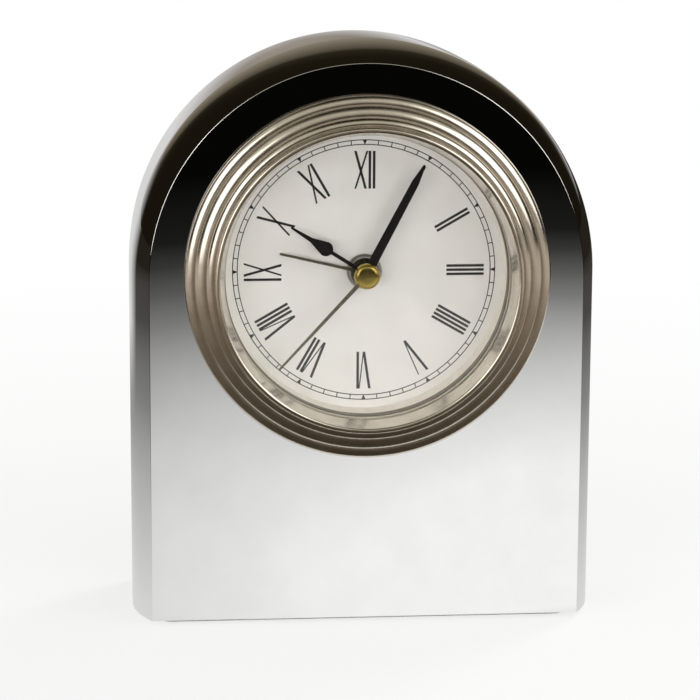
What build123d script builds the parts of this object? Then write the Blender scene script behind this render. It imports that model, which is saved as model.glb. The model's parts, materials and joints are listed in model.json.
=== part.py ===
from build123d import *

import os
from math import atan2, cos, degrees, radians, sin, sqrt

# Beehive shelf clock: a polished arch-shaped case that holds a round quartz alarm clock insert.
# Millimetres. +Z is up and the dial faces -Y. The origin is on the resting plane, at the middle of
# the overall width and depth. Depths inside the insert are measured backwards from the case's flat
# front face. Heights of turned profiles are measured forwards from it.

# Case
CASE_HALF_WIDTH = 45.3
ARCH_CENTRE_HEIGHT = 67.8
CASE_DEPTH = 34.0
FACE_INSET = 3.6
SHOULDER_DEPTH = 13.0
FACE_EDGE_RADIUS = 0.5
REAR_EDGE_RADIUS = 1.0
CASE_WALL = 3.0
FRONT_WALL = 3.0
FLOOR_THICKNESS = 4.0
FELT_THICKNESS = 1.2
FELT_MARGIN = 3.0
COLLAR_WALL = 3.0
COLLAR_DEPTH = 14.0

# Rear plate and its screws
PLATE_THICKNESS = 2.0
PLATE_RIM = 1.6
PLATE_CLEARANCE = 0.1
ACCESS_MARGIN = 1.3
BOSS_RADIUS = 3.0
BOSS_INSET = 2.4
BOSS_LENGTH = 12.0
LOWER_BOSS_HEIGHT = 10.0
UPPER_BOSS_ANGLE = 50.0
SCREW_RADIUS = 1.1
SCREW_HEAD_RADIUS = 2.2
SCREW_LENGTH = 9.0
SCREW_HOLE_CLEARANCE = 0.05
SCREW_SLOT_WIDTH = 0.5
SCREW_SLOT_DEPTH = 0.6

# Bezel, lens and dial of the insert
INSERT_HEIGHT = 68.6
BEZEL_FLANGE = 5.0
BEZEL_PROUD = 5.9
BEZEL_FOOT = 1.6
BEAD_WIDTHS = (1.9, 2.1, 1.6)
BEAD_BULGE = 0.45
LIP_WIDTH = 1.1
LIP_FOOT_HEIGHT = 4.4
SKIRT_CLEARANCE = 0.1
SKIRT_DEPTH = 3.0
LENS_INSET = 1.2
LENS_THICKNESS = 1.5
LENS_CROWN = 0.9
LENS_SEAT_CLEARANCE = 0.1
LENS_OVERLAP = 0.5
LENS_RIM_CLEARANCE = 0.1
LENS_BACK = 0.1
GASKET_THICKNESS = 0.7
GASKET_WIDTH = 0.75
CUP_FRONT_WALL = 1.3
CUP_REAR_WALL = 2.2
DIAL_DEPTH = 8.0
DIAL_THICKNESS = 0.5
DIAL_CLEARANCE = 0.1
REFLECTOR_FRONT_WALL = 0.4
REFLECTOR_REAR_WALL = 0.75
GRIP_THICKNESS = 0.8
GRIP_CLEARANCE = 0.02
GRIP_WIDTH = 2.0
GRIP_DEPTHS = (6.0, 10.0)

# Movement: plates, pillars and covers
MOVEMENT_MARGIN = 1.0
PLATE_FIT = 0.1
FRONT_PLATE_THICKNESS = 1.2
MOVEMENT_DEPTH = 24.5
REAR_COVER_THICKNESS = 1.5
BRIDGE_DEPTH = 20.8
BRIDGE_THICKNESS = 1.0
BRIDGE_RADIUS = 18.5
BRIDGE_RISE = 1.0
BRIDGE_LOWER_EDGE = -16.9
PILLAR_RADIUS = 2.0
PILLAR_MARGIN = 0.9
PILLAR_ANGLES = (10.0, 170.0, 220.0, 320.0)
POST_RADIUS = 1.5
POST_PLACES = ((14.5, -4.0), (-13.5, -11.0), (0.0, 19.0))
POST_LUG_RADIUS = 2.6
SMALL_SCREW_RADIUS = 0.8
SMALL_SCREW_LENGTH = 4.0
SMALL_HEAD_RADIUS = 1.5
SMALL_HEAD_HEIGHT = 0.8

# Concentric pipes that carry the hands: outer radii, with one running clearance between them
RUNNING_CLEARANCE = 0.08
SECOND_ARBOR_RADIUS = 0.42
MINUTE_PIPE_WALL = 0.42
HOUR_PIPE_WALL = 0.47
ALARM_PIPE_WALL = 0.52
BUSHING_WALL = 0.75
NUT_RADIUS = 3.4
NUT_THICKNESS = 0.9
ARBOR_RADIUS = 0.5
SETTING_ARBOR_RADIUS = 0.8
PIVOT_CLEARANCE = 0.08
PIVOT_END_GAP = 0.2

# Gear train: tooth counts and the distances between arbors
CENTRE_TO_FIFTH = 9.0
CENTRE_TO_THIRD = 8.5
CENTRE_TO_MINUTE = 9.0
CENTRE_TO_ALARM = 9.0
FIFTH_TO_ROTOR = 8.4
ROTOR_DIRECTION = -30.0
SECONDS_WHEEL_TEETH = 60
FIFTH_PINION_TEETH = 12
FIFTH_WHEEL_TEETH = 48
ROTOR_PINION_TEETH = 8
SECONDS_PINION_TEETH = 8
THIRD_WHEEL_TEETH = 60
THIRD_PINION_TEETH = 8
CENTRE_WHEEL_TEETH = 64
CANNON_PINION_TEETH = 12
MINUTE_WHEEL_TEETH = 36
MINUTE_PINION_TEETH = 10
HOUR_WHEEL_TEETH = 40
ALARM_WHEEL_TEETH = 48
ALARM_PINION_TEETH = 12
ADDENDUM = 0.75
DEDENDUM = 1.2
TOOTH_SHARE_ROOT = 0.54
TOOTH_SHARE_TIP = 0.2

# Depths of the gear levels behind the case's front face: start and thickness
ALARM_LEVEL = (10.0, 0.9)
HOUR_LEVEL = (11.2, 0.9)
CANNON_LEVEL = (12.4, 1.0)
CENTRE_LEVEL = (13.8, 0.8)
THIRD_LEVEL = (15.4, 0.9)
SECONDS_LEVEL = (16.7, 0.8)
FIFTH_LEVEL = (17.8, 0.8)
ROTOR_MAGNET_LEVEL = (18.9, 1.5)
ROTOR_MAGNET_RADIUS = 2.2
PINION_OVERHANG = 0.1
CLUTCH_GAP = 0.03
CLUTCH_RADIUS = 2.4
COLLAR_RADIUS = 1.5
COLLAR_THICKNESS = 0.35
WHEEL_RIM = 1.0
WHEEL_HUB = 1.6
WHEEL_SPOKE = 0.9

# Hands: depth of each hand's front face, its angle clockwise from twelve and its length
HAND_THICKNESS = 0.35
HAND_FIT = 0.01
BOSS_THICKNESS = 0.75
ALARM_HAND_DEPTH = 5.8
HOUR_HAND_DEPTH = 4.55
MINUTE_HAND_DEPTH = 3.25
SECOND_HAND_DEPTH = 2.05
ALARM_HAND_ANGLE = 283.0
HOUR_HAND_ANGLE = 302.3
MINUTE_HAND_ANGLE = 27.7
SECOND_HAND_ANGLE = 222.8
ALARM_HAND_LENGTH = 16.9
HOUR_HAND_LENGTH = 17.0
MINUTE_HAND_LENGTH = 23.8
SECOND_HAND_LENGTH = 24.8
ALARM_HAND_WIDTHS = (0.6, 0.45)
SECOND_HAND_WIDTHS = (0.8, 0.4)
MINUTE_HAND_WIDTHS = (1.8, 1.45, 0.4)
MINUTE_SHOULDER_REACH = 20.0
HOUR_STEM_WIDTH = 0.95
HOUR_PEAR_RADIUS = 1.45
HOUR_PEAR_REACH = 9.1
HOUR_NECK_RADIUS = 0.55
HOUR_NECK_REACH = 12.6
HOUR_TIP_RADIUS = 0.2
ALARM_BOSS_RADIUS = 2.8
HOUR_BOSS_RADIUS = 2.2
MINUTE_BOSS_RADIUS = 1.8
SECOND_BOSS_RADIUS = 1.2
CAP_RADIUS = 2.5
CAP_HEIGHT = 1.55
CAP_ROUNDING = 0.7

# Electrical pieces
CELL_REACH = 18.8
CELL_ANGLE = 132.0
CELL_RADIUS = 5.8
CELL_HEIGHT = 5.4
CELL_DEPTH = 18.8
CELL_CHAMFER = 0.4
WELL_RADIUS = 6.3
WELL_WALL = 0.8
WELL_FLOOR = 0.5
WELL_END = 23.6
CONTACT_RADIUS = 4.0
CONTACT_THICKNESS = 0.25
CONTACT_LEAF_WIDTH = 6.0
CONTACT_GAP = 0.05
CAP_CLEARANCE = 0.1
DOOR_RADIUS = 6.4
DOOR_LUG = 0.8
DOOR_LUG_THICKNESS = 0.5
DOOR_LUG_GAP = 0.1
DOOR_LUG_HALF_WIDTH = 1.5
DOOR_TURN = 60.0
DOOR_SLOT_WIDTH = 1.4
DOOR_SLOT_DEPTH = 0.7
BUZZER_REACH = 18.8
BUZZER_ANGLE = 48.0
BUZZER_RADIUS = 6.0
BUZZER_HEIGHT = 6.0
BUZZER_CLEARANCE = 0.8
BUZZER_THROAT_DEPTH = 1.0
SOUND_HOLE_RADIUS = 0.7
SOUND_HOLE_CIRCLE = 3.0
SOUND_HOLE_COUNT = 6
BOARD_THICKNESS = 0.8
BOARD_UPPER_EDGE = 7.0
BOARD_HOLE_CLEARANCE = 0.5
BOARD_MARGIN = 1.0
CHIP_PLACE = (3.5, -6.5)
CHIP_SIDE = 4.4
CHIP_HEIGHT = 1.0
CHIP_CORNER = 1.4
CRYSTAL_PLACE = (-4.0, -9.0)
CRYSTAL_RADIUS = 0.9
CRYSTAL_LENGTH = 6.0
STATOR_DEPTH = 19.1
STATOR_THICKNESS = 0.8
STATOR_EYE_RADIUS = 4.6
STATOR_GAP = 0.5
STATOR_HALF_SPAN = 10.5
STATOR_FOOT = 3.0
STATOR_BAR_TOP = -12.6
STATOR_BAR_LOW = -16.4
STATOR_POSTS = ((-8.5, -14.5), (10.9, -13.2))
STATOR_POST_RADIUS = 0.7
COIL_AXIS_HEIGHT = -20.9
CORE_WIDTH = 2.8
CORE_THICKNESS = 0.8
COIL_HALF_LENGTH = 7.2
BOBBIN_RADIUS = 1.75
BOBBIN_FLANGE_RADIUS = 2.9
BOBBIN_FLANGE = 0.6
WINDING_RADIUS = 2.6
CORE_CLEARANCE = 0.05

# Controls on the back of the insert
KNOB_RADIUS = 4.0
KNOB_GAP = 0.4
KNOB_HEIGHT = 4.6
KNOB_SOCKET = 2.6
KNOB_FLUTES = 18
KNOB_FLUTE_RADIUS = 0.45
KNOB_EDGE = 0.5
SWITCH_OFFSET = -2.0
SWITCH_INSET = 6.4
SWITCH_TRAVEL = 4.0
SWITCH_STEM = (2.0, 1.6)
SWITCH_PLATE = (6.0, 3.6, 0.9)
SWITCH_THUMB = (3.4, 2.8, 1.4)
SWITCH_GAP = 0.15
THUMB_GROOVES = 3
THUMB_GROOVE_WIDTH = 0.45
THUMB_GROOVE_DEPTH = 0.45
THUMB_GROOVE_PITCH = 0.95

# Extra length of every cutting tool beyond what it cuts
CUT_MARGIN = 1.0

# Derived places
TOTAL_DEPTH = BEZEL_PROUD + CASE_DEPTH
FACE_Y = BEZEL_PROUD - TOTAL_DEPTH / 2
FACE_HALF_WIDTH = CASE_HALF_WIDTH - FACE_INSET
SHOULDER_RADIUS = (FACE_INSET**2 + SHOULDER_DEPTH**2) / (2 * FACE_INSET)
INSERT_FRAME = Plane((0, FACE_Y, INSERT_HEIGHT), x_dir=(1, 0, 0), z_dir=(0, -1, 0))
CENTRE = (0.0, 0.0)
FIFTH_PLACE = (0.0, -CENTRE_TO_FIFTH)
THIRD_PLACE = (0.0, CENTRE_TO_THIRD)
MINUTE_PLACE = (-CENTRE_TO_MINUTE, 0.0)
ALARM_PLACE = (CENTRE_TO_ALARM, 0.0)
ROTOR_PLACE = (
    FIFTH_PLACE[0] + FIFTH_TO_ROTOR * cos(radians(ROTOR_DIRECTION)),
    FIFTH_PLACE[1] + FIFTH_TO_ROTOR * sin(radians(ROTOR_DIRECTION)),
)
MINUTE_BORE = SECOND_ARBOR_RADIUS + RUNNING_CLEARANCE
MINUTE_PIPE_RADIUS = MINUTE_BORE + MINUTE_PIPE_WALL
HOUR_BORE = MINUTE_PIPE_RADIUS + RUNNING_CLEARANCE
HOUR_PIPE_RADIUS = HOUR_BORE + HOUR_PIPE_WALL
ALARM_BORE = HOUR_PIPE_RADIUS + RUNNING_CLEARANCE
ALARM_PIPE_RADIUS = ALARM_BORE + ALARM_PIPE_WALL
BUSHING_BORE = ALARM_PIPE_RADIUS + RUNNING_CLEARANCE
BUSHING_RADIUS = BUSHING_BORE + BUSHING_WALL
MOVEMENT_RADIUS = (
    max(CELL_REACH + WELL_RADIUS + WELL_WALL, BUZZER_REACH + BUZZER_RADIUS + BUZZER_CLEARANCE)
    + MOVEMENT_MARGIN
)
PILLAR_REACH = MOVEMENT_RADIUS - PILLAR_MARGIN - PILLAR_RADIUS
CUP_REAR_BORE = MOVEMENT_RADIUS + PLATE_FIT
CUP_RADIUS = CUP_REAR_BORE + CUP_REAR_WALL
CUP_FRONT_BORE = CUP_RADIUS - CUP_FRONT_WALL
LENS_RADIUS = CUP_RADIUS - LENS_INSET
BORE_RADIUS = CUP_RADIUS + GRIP_THICKNESS
ACCESS_RADIUS = CUP_RADIUS + ACCESS_MARGIN
BEZEL_RADIUS = BORE_RADIUS + BEZEL_FLANGE
LIP_OUTER_RADIUS = BEZEL_RADIUS - sum(BEAD_WIDTHS)
LIP_RADIUS = LIP_OUTER_RADIUS - LIP_WIDTH
CELL_PLACE = (CELL_REACH * cos(radians(CELL_ANGLE)), CELL_REACH * sin(radians(CELL_ANGLE)))
BUZZER_PLACE = (BUZZER_REACH * cos(radians(BUZZER_ANGLE)), BUZZER_REACH * sin(radians(BUZZER_ANGLE)))
SWITCH_PLACE = (SWITCH_OFFSET, MOVEMENT_RADIUS - SWITCH_INSET)
CUP_FRONT_DEPTH = GASKET_THICKNESS - LENS_BACK
DIAL_BACK = DIAL_DEPTH + DIAL_THICKNESS
FRONT_PLATE_BACK = DIAL_BACK + FRONT_PLATE_THICKNESS
BRIDGE_BACK = BRIDGE_DEPTH + BRIDGE_THICKNESS
BOARD_BACK = BRIDGE_BACK + BOARD_THICKNESS
COVER_BACK = MOVEMENT_DEPTH + REAR_COVER_THICKNESS
KNOB_FRONT_DEPTH = COVER_BACK + KNOB_GAP
PIVOT_FRONT = DIAL_BACK + PIVOT_END_GAP
PIVOT_BACK = BRIDGE_BACK - PIVOT_END_GAP


# Shape helpers


def disc(radius, depth, thickness, at=CENTRE):
    """Cylinder whose front end lies at a depth behind the case's front face."""
    low = -depth - thickness
    solid = Cylinder(radius, thickness, align=(Align.CENTER, Align.CENTER, Align.MIN))
    return Pos(at[0], at[1], low) * solid


def drill(radius, depth, thickness, at=CENTRE):
    """Cutting cylinder that reaches past both faces of what it passes through."""
    return disc(radius, depth - CUT_MARGIN, thickness + 2 * CUT_MARGIN, at)


def ring(outer, inner, depth, thickness, at=CENTRE):
    return disc(outer, depth, thickness, at) - drill(inner, depth, thickness, at)


def block(width, height, depth, thickness, at=CENTRE):
    """Box centred at a place in the dial's plane, from a depth backwards."""
    solid = Box(width, height, thickness, align=(Align.CENTER, Align.CENTER, Align.MIN))
    return Pos(at[0], at[1], -depth - thickness) * solid


def window(width, height, depth, thickness, at=CENTRE):
    """Cutting box that reaches past both faces of what it passes through."""
    return block(width, height, depth - CUT_MARGIN, thickness + 2 * CUT_MARGIN, at)


def turned(*lines):
    """Solid of revolution about the dial's axis from lines and arcs in radius and height."""
    return revolve(make_face(Plane.XZ * Curve(list(lines))), Axis.Z)


def module_of(distance, teeth, mate_teeth):
    return 2 * distance / (teeth + mate_teeth)


def gear(teeth, module, depth, thickness, at, towards, tooth):
    """Spur gear with straight flanks. A tooth, or a gap, points at the place of its mate."""
    pitch = 360.0 / teeth
    aim = degrees(atan2(towards[1] - at[1], towards[0] - at[0]))
    start = aim if tooth else aim + pitch / 2
    root = module * (teeth / 2 - DEDENDUM)
    tip = module * (teeth / 2 + ADDENDUM)
    sides = (
        (root, -TOOTH_SHARE_ROOT / 2),
        (tip, -TOOTH_SHARE_TIP / 2),
        (tip, TOOTH_SHARE_TIP / 2),
        (root, TOOTH_SHARE_ROOT / 2),
    )
    points = []
    for index in range(teeth):
        for radius, share in sides:
            angle = radians(start + (index + share) * pitch)
            points.append((radius * cos(angle), radius * sin(angle)))
    outline = make_face(Polyline(*points, close=True))
    return Pos(at[0], at[1], -depth - thickness) * extrude(outline, thickness)


def lightened(wheel, teeth, module, depth, thickness, at, hub):
    """Cuts four openings between the hub, the rim and the spokes of a wheel."""
    rim = module * (teeth / 2 - DEDENDUM) - WHEEL_RIM
    opening = drill(rim, depth, thickness, at) - drill(hub, depth, thickness, at)
    opening -= window(2 * rim, WHEEL_SPOKE, depth, thickness, at)
    opening -= window(WHEEL_SPOKE, 2 * rim, depth, thickness, at)
    return wheel - opening


def arbor(place, radius=ARBOR_RADIUS, start=PIVOT_FRONT, end=PIVOT_BACK):
    return disc(radius, start, end - start, place)


def polar(radius, angle):
    return radius * cos(radians(angle)), radius * sin(radians(angle))


def placed(solid):
    """Moves a piece of the insert from the dial's frame into the clock's frame."""
    return INSERT_FRAME * solid


# Case


def arch_profile(wall, front):
    """Half section of the case, radius across and depth up, offset inwards by a wall."""
    radius = SHOULDER_RADIUS - wall
    middle = CASE_HALF_WIDTH - SHOULDER_RADIUS
    outer = middle + radius

    def shoulder(depth):
        return middle + sqrt(radius**2 - (SHOULDER_DEPTH - depth) ** 2)

    half_way = (front + SHOULDER_DEPTH) / 2
    face = Line((0, front), (shoulder(front), front))
    swell = ThreePointArc(
        (shoulder(front), front),
        (shoulder(half_way), half_way),
        (outer, SHOULDER_DEPTH),
    )
    side = Polyline((outer, SHOULDER_DEPTH), (outer, CASE_DEPTH), (0, CASE_DEPTH), (0, front))
    return make_face(Curve([face, swell, side])), shoulder(front)


def arch_solid(profile, low):
    """Turns a half section over the arch and carries it down both sides to a level."""
    whole = revolve(Pos(0, FACE_Y, 0) * profile, Axis.Y)
    reach = 4 * CASE_HALF_WIDTH
    upper = Box(reach, reach, reach, align=(Align.CENTER, Align.CENTER, Align.MIN))
    crown = Pos(0, 0, ARCH_CENTRE_HEIGHT) * (whole & upper)
    section = crown.faces().sort_by(Axis.Z)[0]
    return crown + extrude(section, ARCH_CENTRE_HEIGHT - low, dir=(0, 0, -1))


def arch_plate(half_width, low, depth, thickness):
    """Flat arch-shaped plate standing in the case, from a depth backwards."""
    profile = make_face(
        Polyline(
            (0, depth),
            (half_width, depth),
            (half_width, depth + thickness),
            (0, depth + thickness),
            close=True,
        )
    )
    return arch_solid(profile, low)


def plate_screw_places():
    """Places of the rear plate's screws, across and up from the resting plane."""
    reach = CASE_HALF_WIDTH - CASE_WALL - BOSS_INSET
    across, up = polar(reach, UPPER_BOSS_ANGLE)
    low = FELT_THICKNESS + LOWER_BOSS_HEIGHT
    return (
        (-reach, low),
        (reach, low),
        (-across, ARCH_CENTRE_HEIGHT + up),
        (across, ARCH_CENTRE_HEIGHT + up),
    )


def from_face(solid, place):
    """Moves a piece made in the dial's frame to a place measured from the resting plane."""
    return Plane((place[0], FACE_Y, place[1]), x_dir=(1, 0, 0), z_dir=(0, -1, 0)) * solid


def make_case_shell():
    outer, face_edge = arch_profile(0, 0)
    corner = outer.vertices().sort_by_distance((face_edge, 0, 0))[0]
    outer = fillet(corner, FACE_EDGE_RADIUS)
    heel = outer.vertices().sort_by_distance((CASE_HALF_WIDTH, CASE_DEPTH, 0))[0]
    outer = fillet(heel, REAR_EDGE_RADIUS)
    shell = arch_solid(outer, FELT_THICKNESS)
    floor = FELT_THICKNESS + FLOOR_THICKNESS
    cavity, _ = arch_profile(CASE_WALL, FRONT_WALL)
    shell -= arch_solid(cavity, floor)
    plate_front = CASE_DEPTH - PLATE_THICKNESS
    for place in plate_screw_places():
        boss = disc(BOSS_RADIUS, plate_front - BOSS_LENGTH, BOSS_LENGTH)
        shell += from_face(boss, place)
    rebate_half_width = CASE_HALF_WIDTH - PLATE_RIM
    rebate_low = FELT_THICKNESS + PLATE_RIM
    shell -= arch_plate(rebate_half_width, rebate_low, plate_front, PLATE_THICKNESS + CUT_MARGIN)
    shell += placed(disc(BORE_RADIUS + COLLAR_WALL, FRONT_WALL, COLLAR_DEPTH - FRONT_WALL))
    shell -= placed(drill(BORE_RADIUS, 0, COLLAR_DEPTH))
    for place in plate_screw_places():
        hole = drill(SCREW_RADIUS + SCREW_HOLE_CLEARANCE, CASE_DEPTH - SCREW_LENGTH, SCREW_LENGTH)
        shell -= from_face(hole, place)
    return shell


def make_back_plate():
    half_width = CASE_HALF_WIDTH - PLATE_RIM - PLATE_CLEARANCE
    low = FELT_THICKNESS + PLATE_RIM + PLATE_CLEARANCE
    start = CASE_DEPTH - PLATE_THICKNESS
    plate = arch_plate(half_width, low, start, PLATE_THICKNESS)
    plate -= placed(drill(ACCESS_RADIUS, start, PLATE_THICKNESS))
    for place in plate_screw_places():
        hole = drill(SCREW_RADIUS + SCREW_HOLE_CLEARANCE, start, PLATE_THICKNESS)
        hole += plate_screw_head(SCREW_HOLE_CLEARANCE)
        plate -= from_face(hole, place)
    return plate


def plate_screw_head(growth):
    """Countersunk head flush with the back of the case."""
    rise = SCREW_HEAD_RADIUS - SCREW_RADIUS
    head = Cone(
        SCREW_HEAD_RADIUS + growth,
        SCREW_RADIUS + growth,
        rise,
        align=(Align.CENTER, Align.CENTER, Align.MIN),
    )
    return Pos(0, 0, -CASE_DEPTH) * head


def make_back_plate_screws():
    screws = []
    for place in plate_screw_places():
        screw = plate_screw_head(0)
        shank = SCREW_LENGTH - (SCREW_HEAD_RADIUS - SCREW_RADIUS)
        screw += disc(SCREW_RADIUS, CASE_DEPTH - SCREW_LENGTH, shank)
        slot_start = CASE_DEPTH - SCREW_SLOT_DEPTH
        slot_length = 2 * SCREW_HEAD_RADIUS + CUT_MARGIN
        screw -= block(slot_length, SCREW_SLOT_WIDTH, slot_start, SCREW_SLOT_DEPTH + CUT_MARGIN)
        screws.append(from_face(screw, place))
    return Compound(screws)


def make_base_felt():
    depth = CASE_DEPTH - 2 * FELT_MARGIN
    width = 2 * (FACE_HALF_WIDTH - FELT_MARGIN / 2)
    pad = Box(width, depth, FELT_THICKNESS, align=(Align.CENTER, Align.MIN, Align.MIN))
    return Pos(0, FACE_Y + FELT_MARGIN, 0) * pad


# Insert: bezel, lens, dial and cup


def bead(start, end, bulge):
    """Convex arc between two points of a profile, bulging to the right of the way it runs."""
    along = Vector(end[0] - start[0], end[1] - start[1])
    middle = Vector((start[0] + end[0]) / 2, (start[1] + end[1]) / 2)
    crest = middle + Vector(along.Y, -along.X).normalized() * bulge
    return ThreePointArc(start, (crest.X, crest.Y), end)


def make_bezel():
    """Ring of convex beads that climbs from the case's face to the lip round the glass."""
    lens_seat = LENS_RADIUS + LENS_SEAT_CLEARANCE
    lens_front = LENS_BACK + LENS_THICKNESS
    skirt_outer = BORE_RADIUS - SKIRT_CLEARANCE
    skirt_inner = CUP_RADIUS + SKIRT_CLEARANCE
    climb = (LIP_FOOT_HEIGHT - BEZEL_FOOT) / sum(BEAD_WIDTHS)
    points = [(BEZEL_RADIUS, BEZEL_FOOT)]
    for width in BEAD_WIDTHS:
        radius, height = points[-1]
        points.append((radius - width, height + climb * width))
    lines = [bead(start, end, BEAD_BULGE) for start, end in zip(points, points[1:])]
    rounding = LIP_WIDTH / 2
    lip_start = (LIP_OUTER_RADIUS, BEZEL_PROUD - rounding)
    lip_end = (LIP_RADIUS, BEZEL_PROUD - rounding)
    lines.append(Line(points[-1], lip_start))
    lines.append(ThreePointArc(lip_start, (LIP_RADIUS + rounding, BEZEL_PROUD), lip_end))
    lines.append(
        Polyline(
            lip_end,
            (LENS_RADIUS - LENS_OVERLAP, lens_front),
            (lens_seat, lens_front),
            (lens_seat, -CUP_FRONT_DEPTH),
            (skirt_inner, -CUP_FRONT_DEPTH),
            (skirt_inner, -SKIRT_DEPTH),
            (skirt_outer, -SKIRT_DEPTH),
            (skirt_outer, 0),
            (BEZEL_RADIUS, 0),
            (BEZEL_RADIUS, BEZEL_FOOT),
        )
    )
    return placed(turned(*lines))


def dome_cap(radius, base):
    """Spherical cap of the lens's crown that stands on a flat at a height."""
    sphere_radius = (radius**2 + LENS_CROWN**2) / (2 * LENS_CROWN)
    sphere = Pos(0, 0, base + LENS_CROWN - sphere_radius) * Sphere(sphere_radius)
    return sphere & disc(radius, -base - LENS_CROWN, LENS_CROWN)


def make_lens():
    """Domed glass of even thickness with a flat rim under the bezel's shoulder."""
    front = LENS_BACK + LENS_THICKNESS
    dome_radius = LENS_RADIUS - LENS_OVERLAP - LENS_RIM_CLEARANCE
    lens = disc(LENS_RADIUS, -front, LENS_THICKNESS) + dome_cap(dome_radius, front)
    return placed(lens - dome_cap(dome_radius, LENS_BACK))


def make_lens_gasket():
    outer = LENS_RADIUS + LENS_SEAT_CLEARANCE / 2
    return placed(ring(outer, outer - GASKET_WIDTH, -LENS_BACK, GASKET_THICKNESS))


def make_reflector_ring():
    """Sloping ring between the lens gasket and the dial's edge."""
    outer = CUP_FRONT_BORE - DIAL_CLEARANCE / 2
    return placed(
        turned(
            Polyline(
                (outer - REFLECTOR_FRONT_WALL, -CUP_FRONT_DEPTH),
                (outer, -CUP_FRONT_DEPTH),
                (outer, -DIAL_DEPTH),
                (outer - REFLECTOR_REAR_WALL, -DIAL_DEPTH),
                close=True,
            )
        )
    )


def make_dial():
    radius = CUP_FRONT_BORE - DIAL_CLEARANCE
    return placed(ring(radius, BUSHING_RADIUS + DIAL_CLEARANCE, DIAL_DEPTH, DIAL_THICKNESS))


def make_insert_cup():
    cup = disc(CUP_RADIUS, CUP_FRONT_DEPTH, MOVEMENT_DEPTH - CUP_FRONT_DEPTH)
    front_step = DIAL_BACK - CUP_FRONT_DEPTH + CUT_MARGIN
    cup -= disc(CUP_FRONT_BORE, CUP_FRONT_DEPTH - CUT_MARGIN, front_step)
    cup -= drill(CUP_REAR_BORE, DIAL_BACK, MOVEMENT_DEPTH - DIAL_BACK)
    return placed(cup)


def make_grip_rings():
    outer = BORE_RADIUS - GRIP_CLEARANCE
    inner = CUP_RADIUS + GRIP_CLEARANCE
    return Compound([placed(ring(outer, inner, depth, GRIP_WIDTH)) for depth in GRIP_DEPTHS])


# Movement plates


def pillar_places():
    return [polar(PILLAR_REACH, angle) for angle in PILLAR_ANGLES]


def screw_hole(place, end):
    """Blind hole for a small screw that enters from the back at a depth."""
    radius = SMALL_SCREW_RADIUS + SCREW_HOLE_CLEARANCE
    return drill(radius, end - SMALL_SCREW_LENGTH, SMALL_SCREW_LENGTH, place)


def small_screw(place, seat):
    """Cheese-head screw whose head sits on a seat at a depth."""
    screw = disc(SMALL_SCREW_RADIUS, seat - SMALL_SCREW_LENGTH, SMALL_SCREW_LENGTH, place)
    screw += disc(SMALL_HEAD_RADIUS, seat, SMALL_HEAD_HEIGHT, place)
    slot_start = seat + SMALL_HEAD_HEIGHT / 2
    slot_length = 2 * SMALL_HEAD_RADIUS + CUT_MARGIN
    screw -= block(slot_length, SCREW_SLOT_WIDTH, slot_start, SMALL_HEAD_HEIGHT, place)
    return screw


def make_front_plate():
    """Main plate with the threaded bushing, the pillars and the pivot holes."""
    plate = disc(MOVEMENT_RADIUS, DIAL_BACK, FRONT_PLATE_THICKNESS)
    bushing_front = DIAL_DEPTH - NUT_THICKNESS
    plate += disc(BUSHING_RADIUS, bushing_front, DIAL_BACK - bushing_front)
    for place in pillar_places():
        plate += disc(PILLAR_RADIUS, FRONT_PLATE_BACK, MOVEMENT_DEPTH - FRONT_PLATE_BACK, place)
    for place in POST_PLACES:
        plate += disc(POST_RADIUS, FRONT_PLATE_BACK, BRIDGE_DEPTH - FRONT_PLATE_BACK, place)
    plate -= drill(BUSHING_BORE, bushing_front, FRONT_PLATE_BACK - bushing_front)
    for place in pillar_places():
        plate -= screw_hole(place, MOVEMENT_DEPTH)
    for place in POST_PLACES:
        plate -= screw_hole(place, BRIDGE_DEPTH)
    for place in (FIFTH_PLACE, THIRD_PLACE, ROTOR_PLACE):
        plate -= drill(ARBOR_RADIUS + PIVOT_CLEARANCE, DIAL_BACK, FRONT_PLATE_THICKNESS, place)
    for place in (MINUTE_PLACE, ALARM_PLACE):
        plate -= drill(SETTING_ARBOR_RADIUS + PIVOT_CLEARANCE, DIAL_BACK, FRONT_PLATE_THICKNESS, place)
    return placed(plate)


def make_centre_nut():
    inner = BUSHING_RADIUS + HAND_FIT
    return placed(ring(NUT_RADIUS, inner, DIAL_DEPTH - NUT_THICKNESS, NUT_THICKNESS))


def below_bridge(depth, thickness):
    """Cutting box for the straight lower edge that the bridge and the circuit board share."""
    reach = 2 * BRIDGE_RADIUS
    return window(2 * reach, reach, depth, thickness, (0, BRIDGE_LOWER_EDGE - reach / 2))


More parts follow.
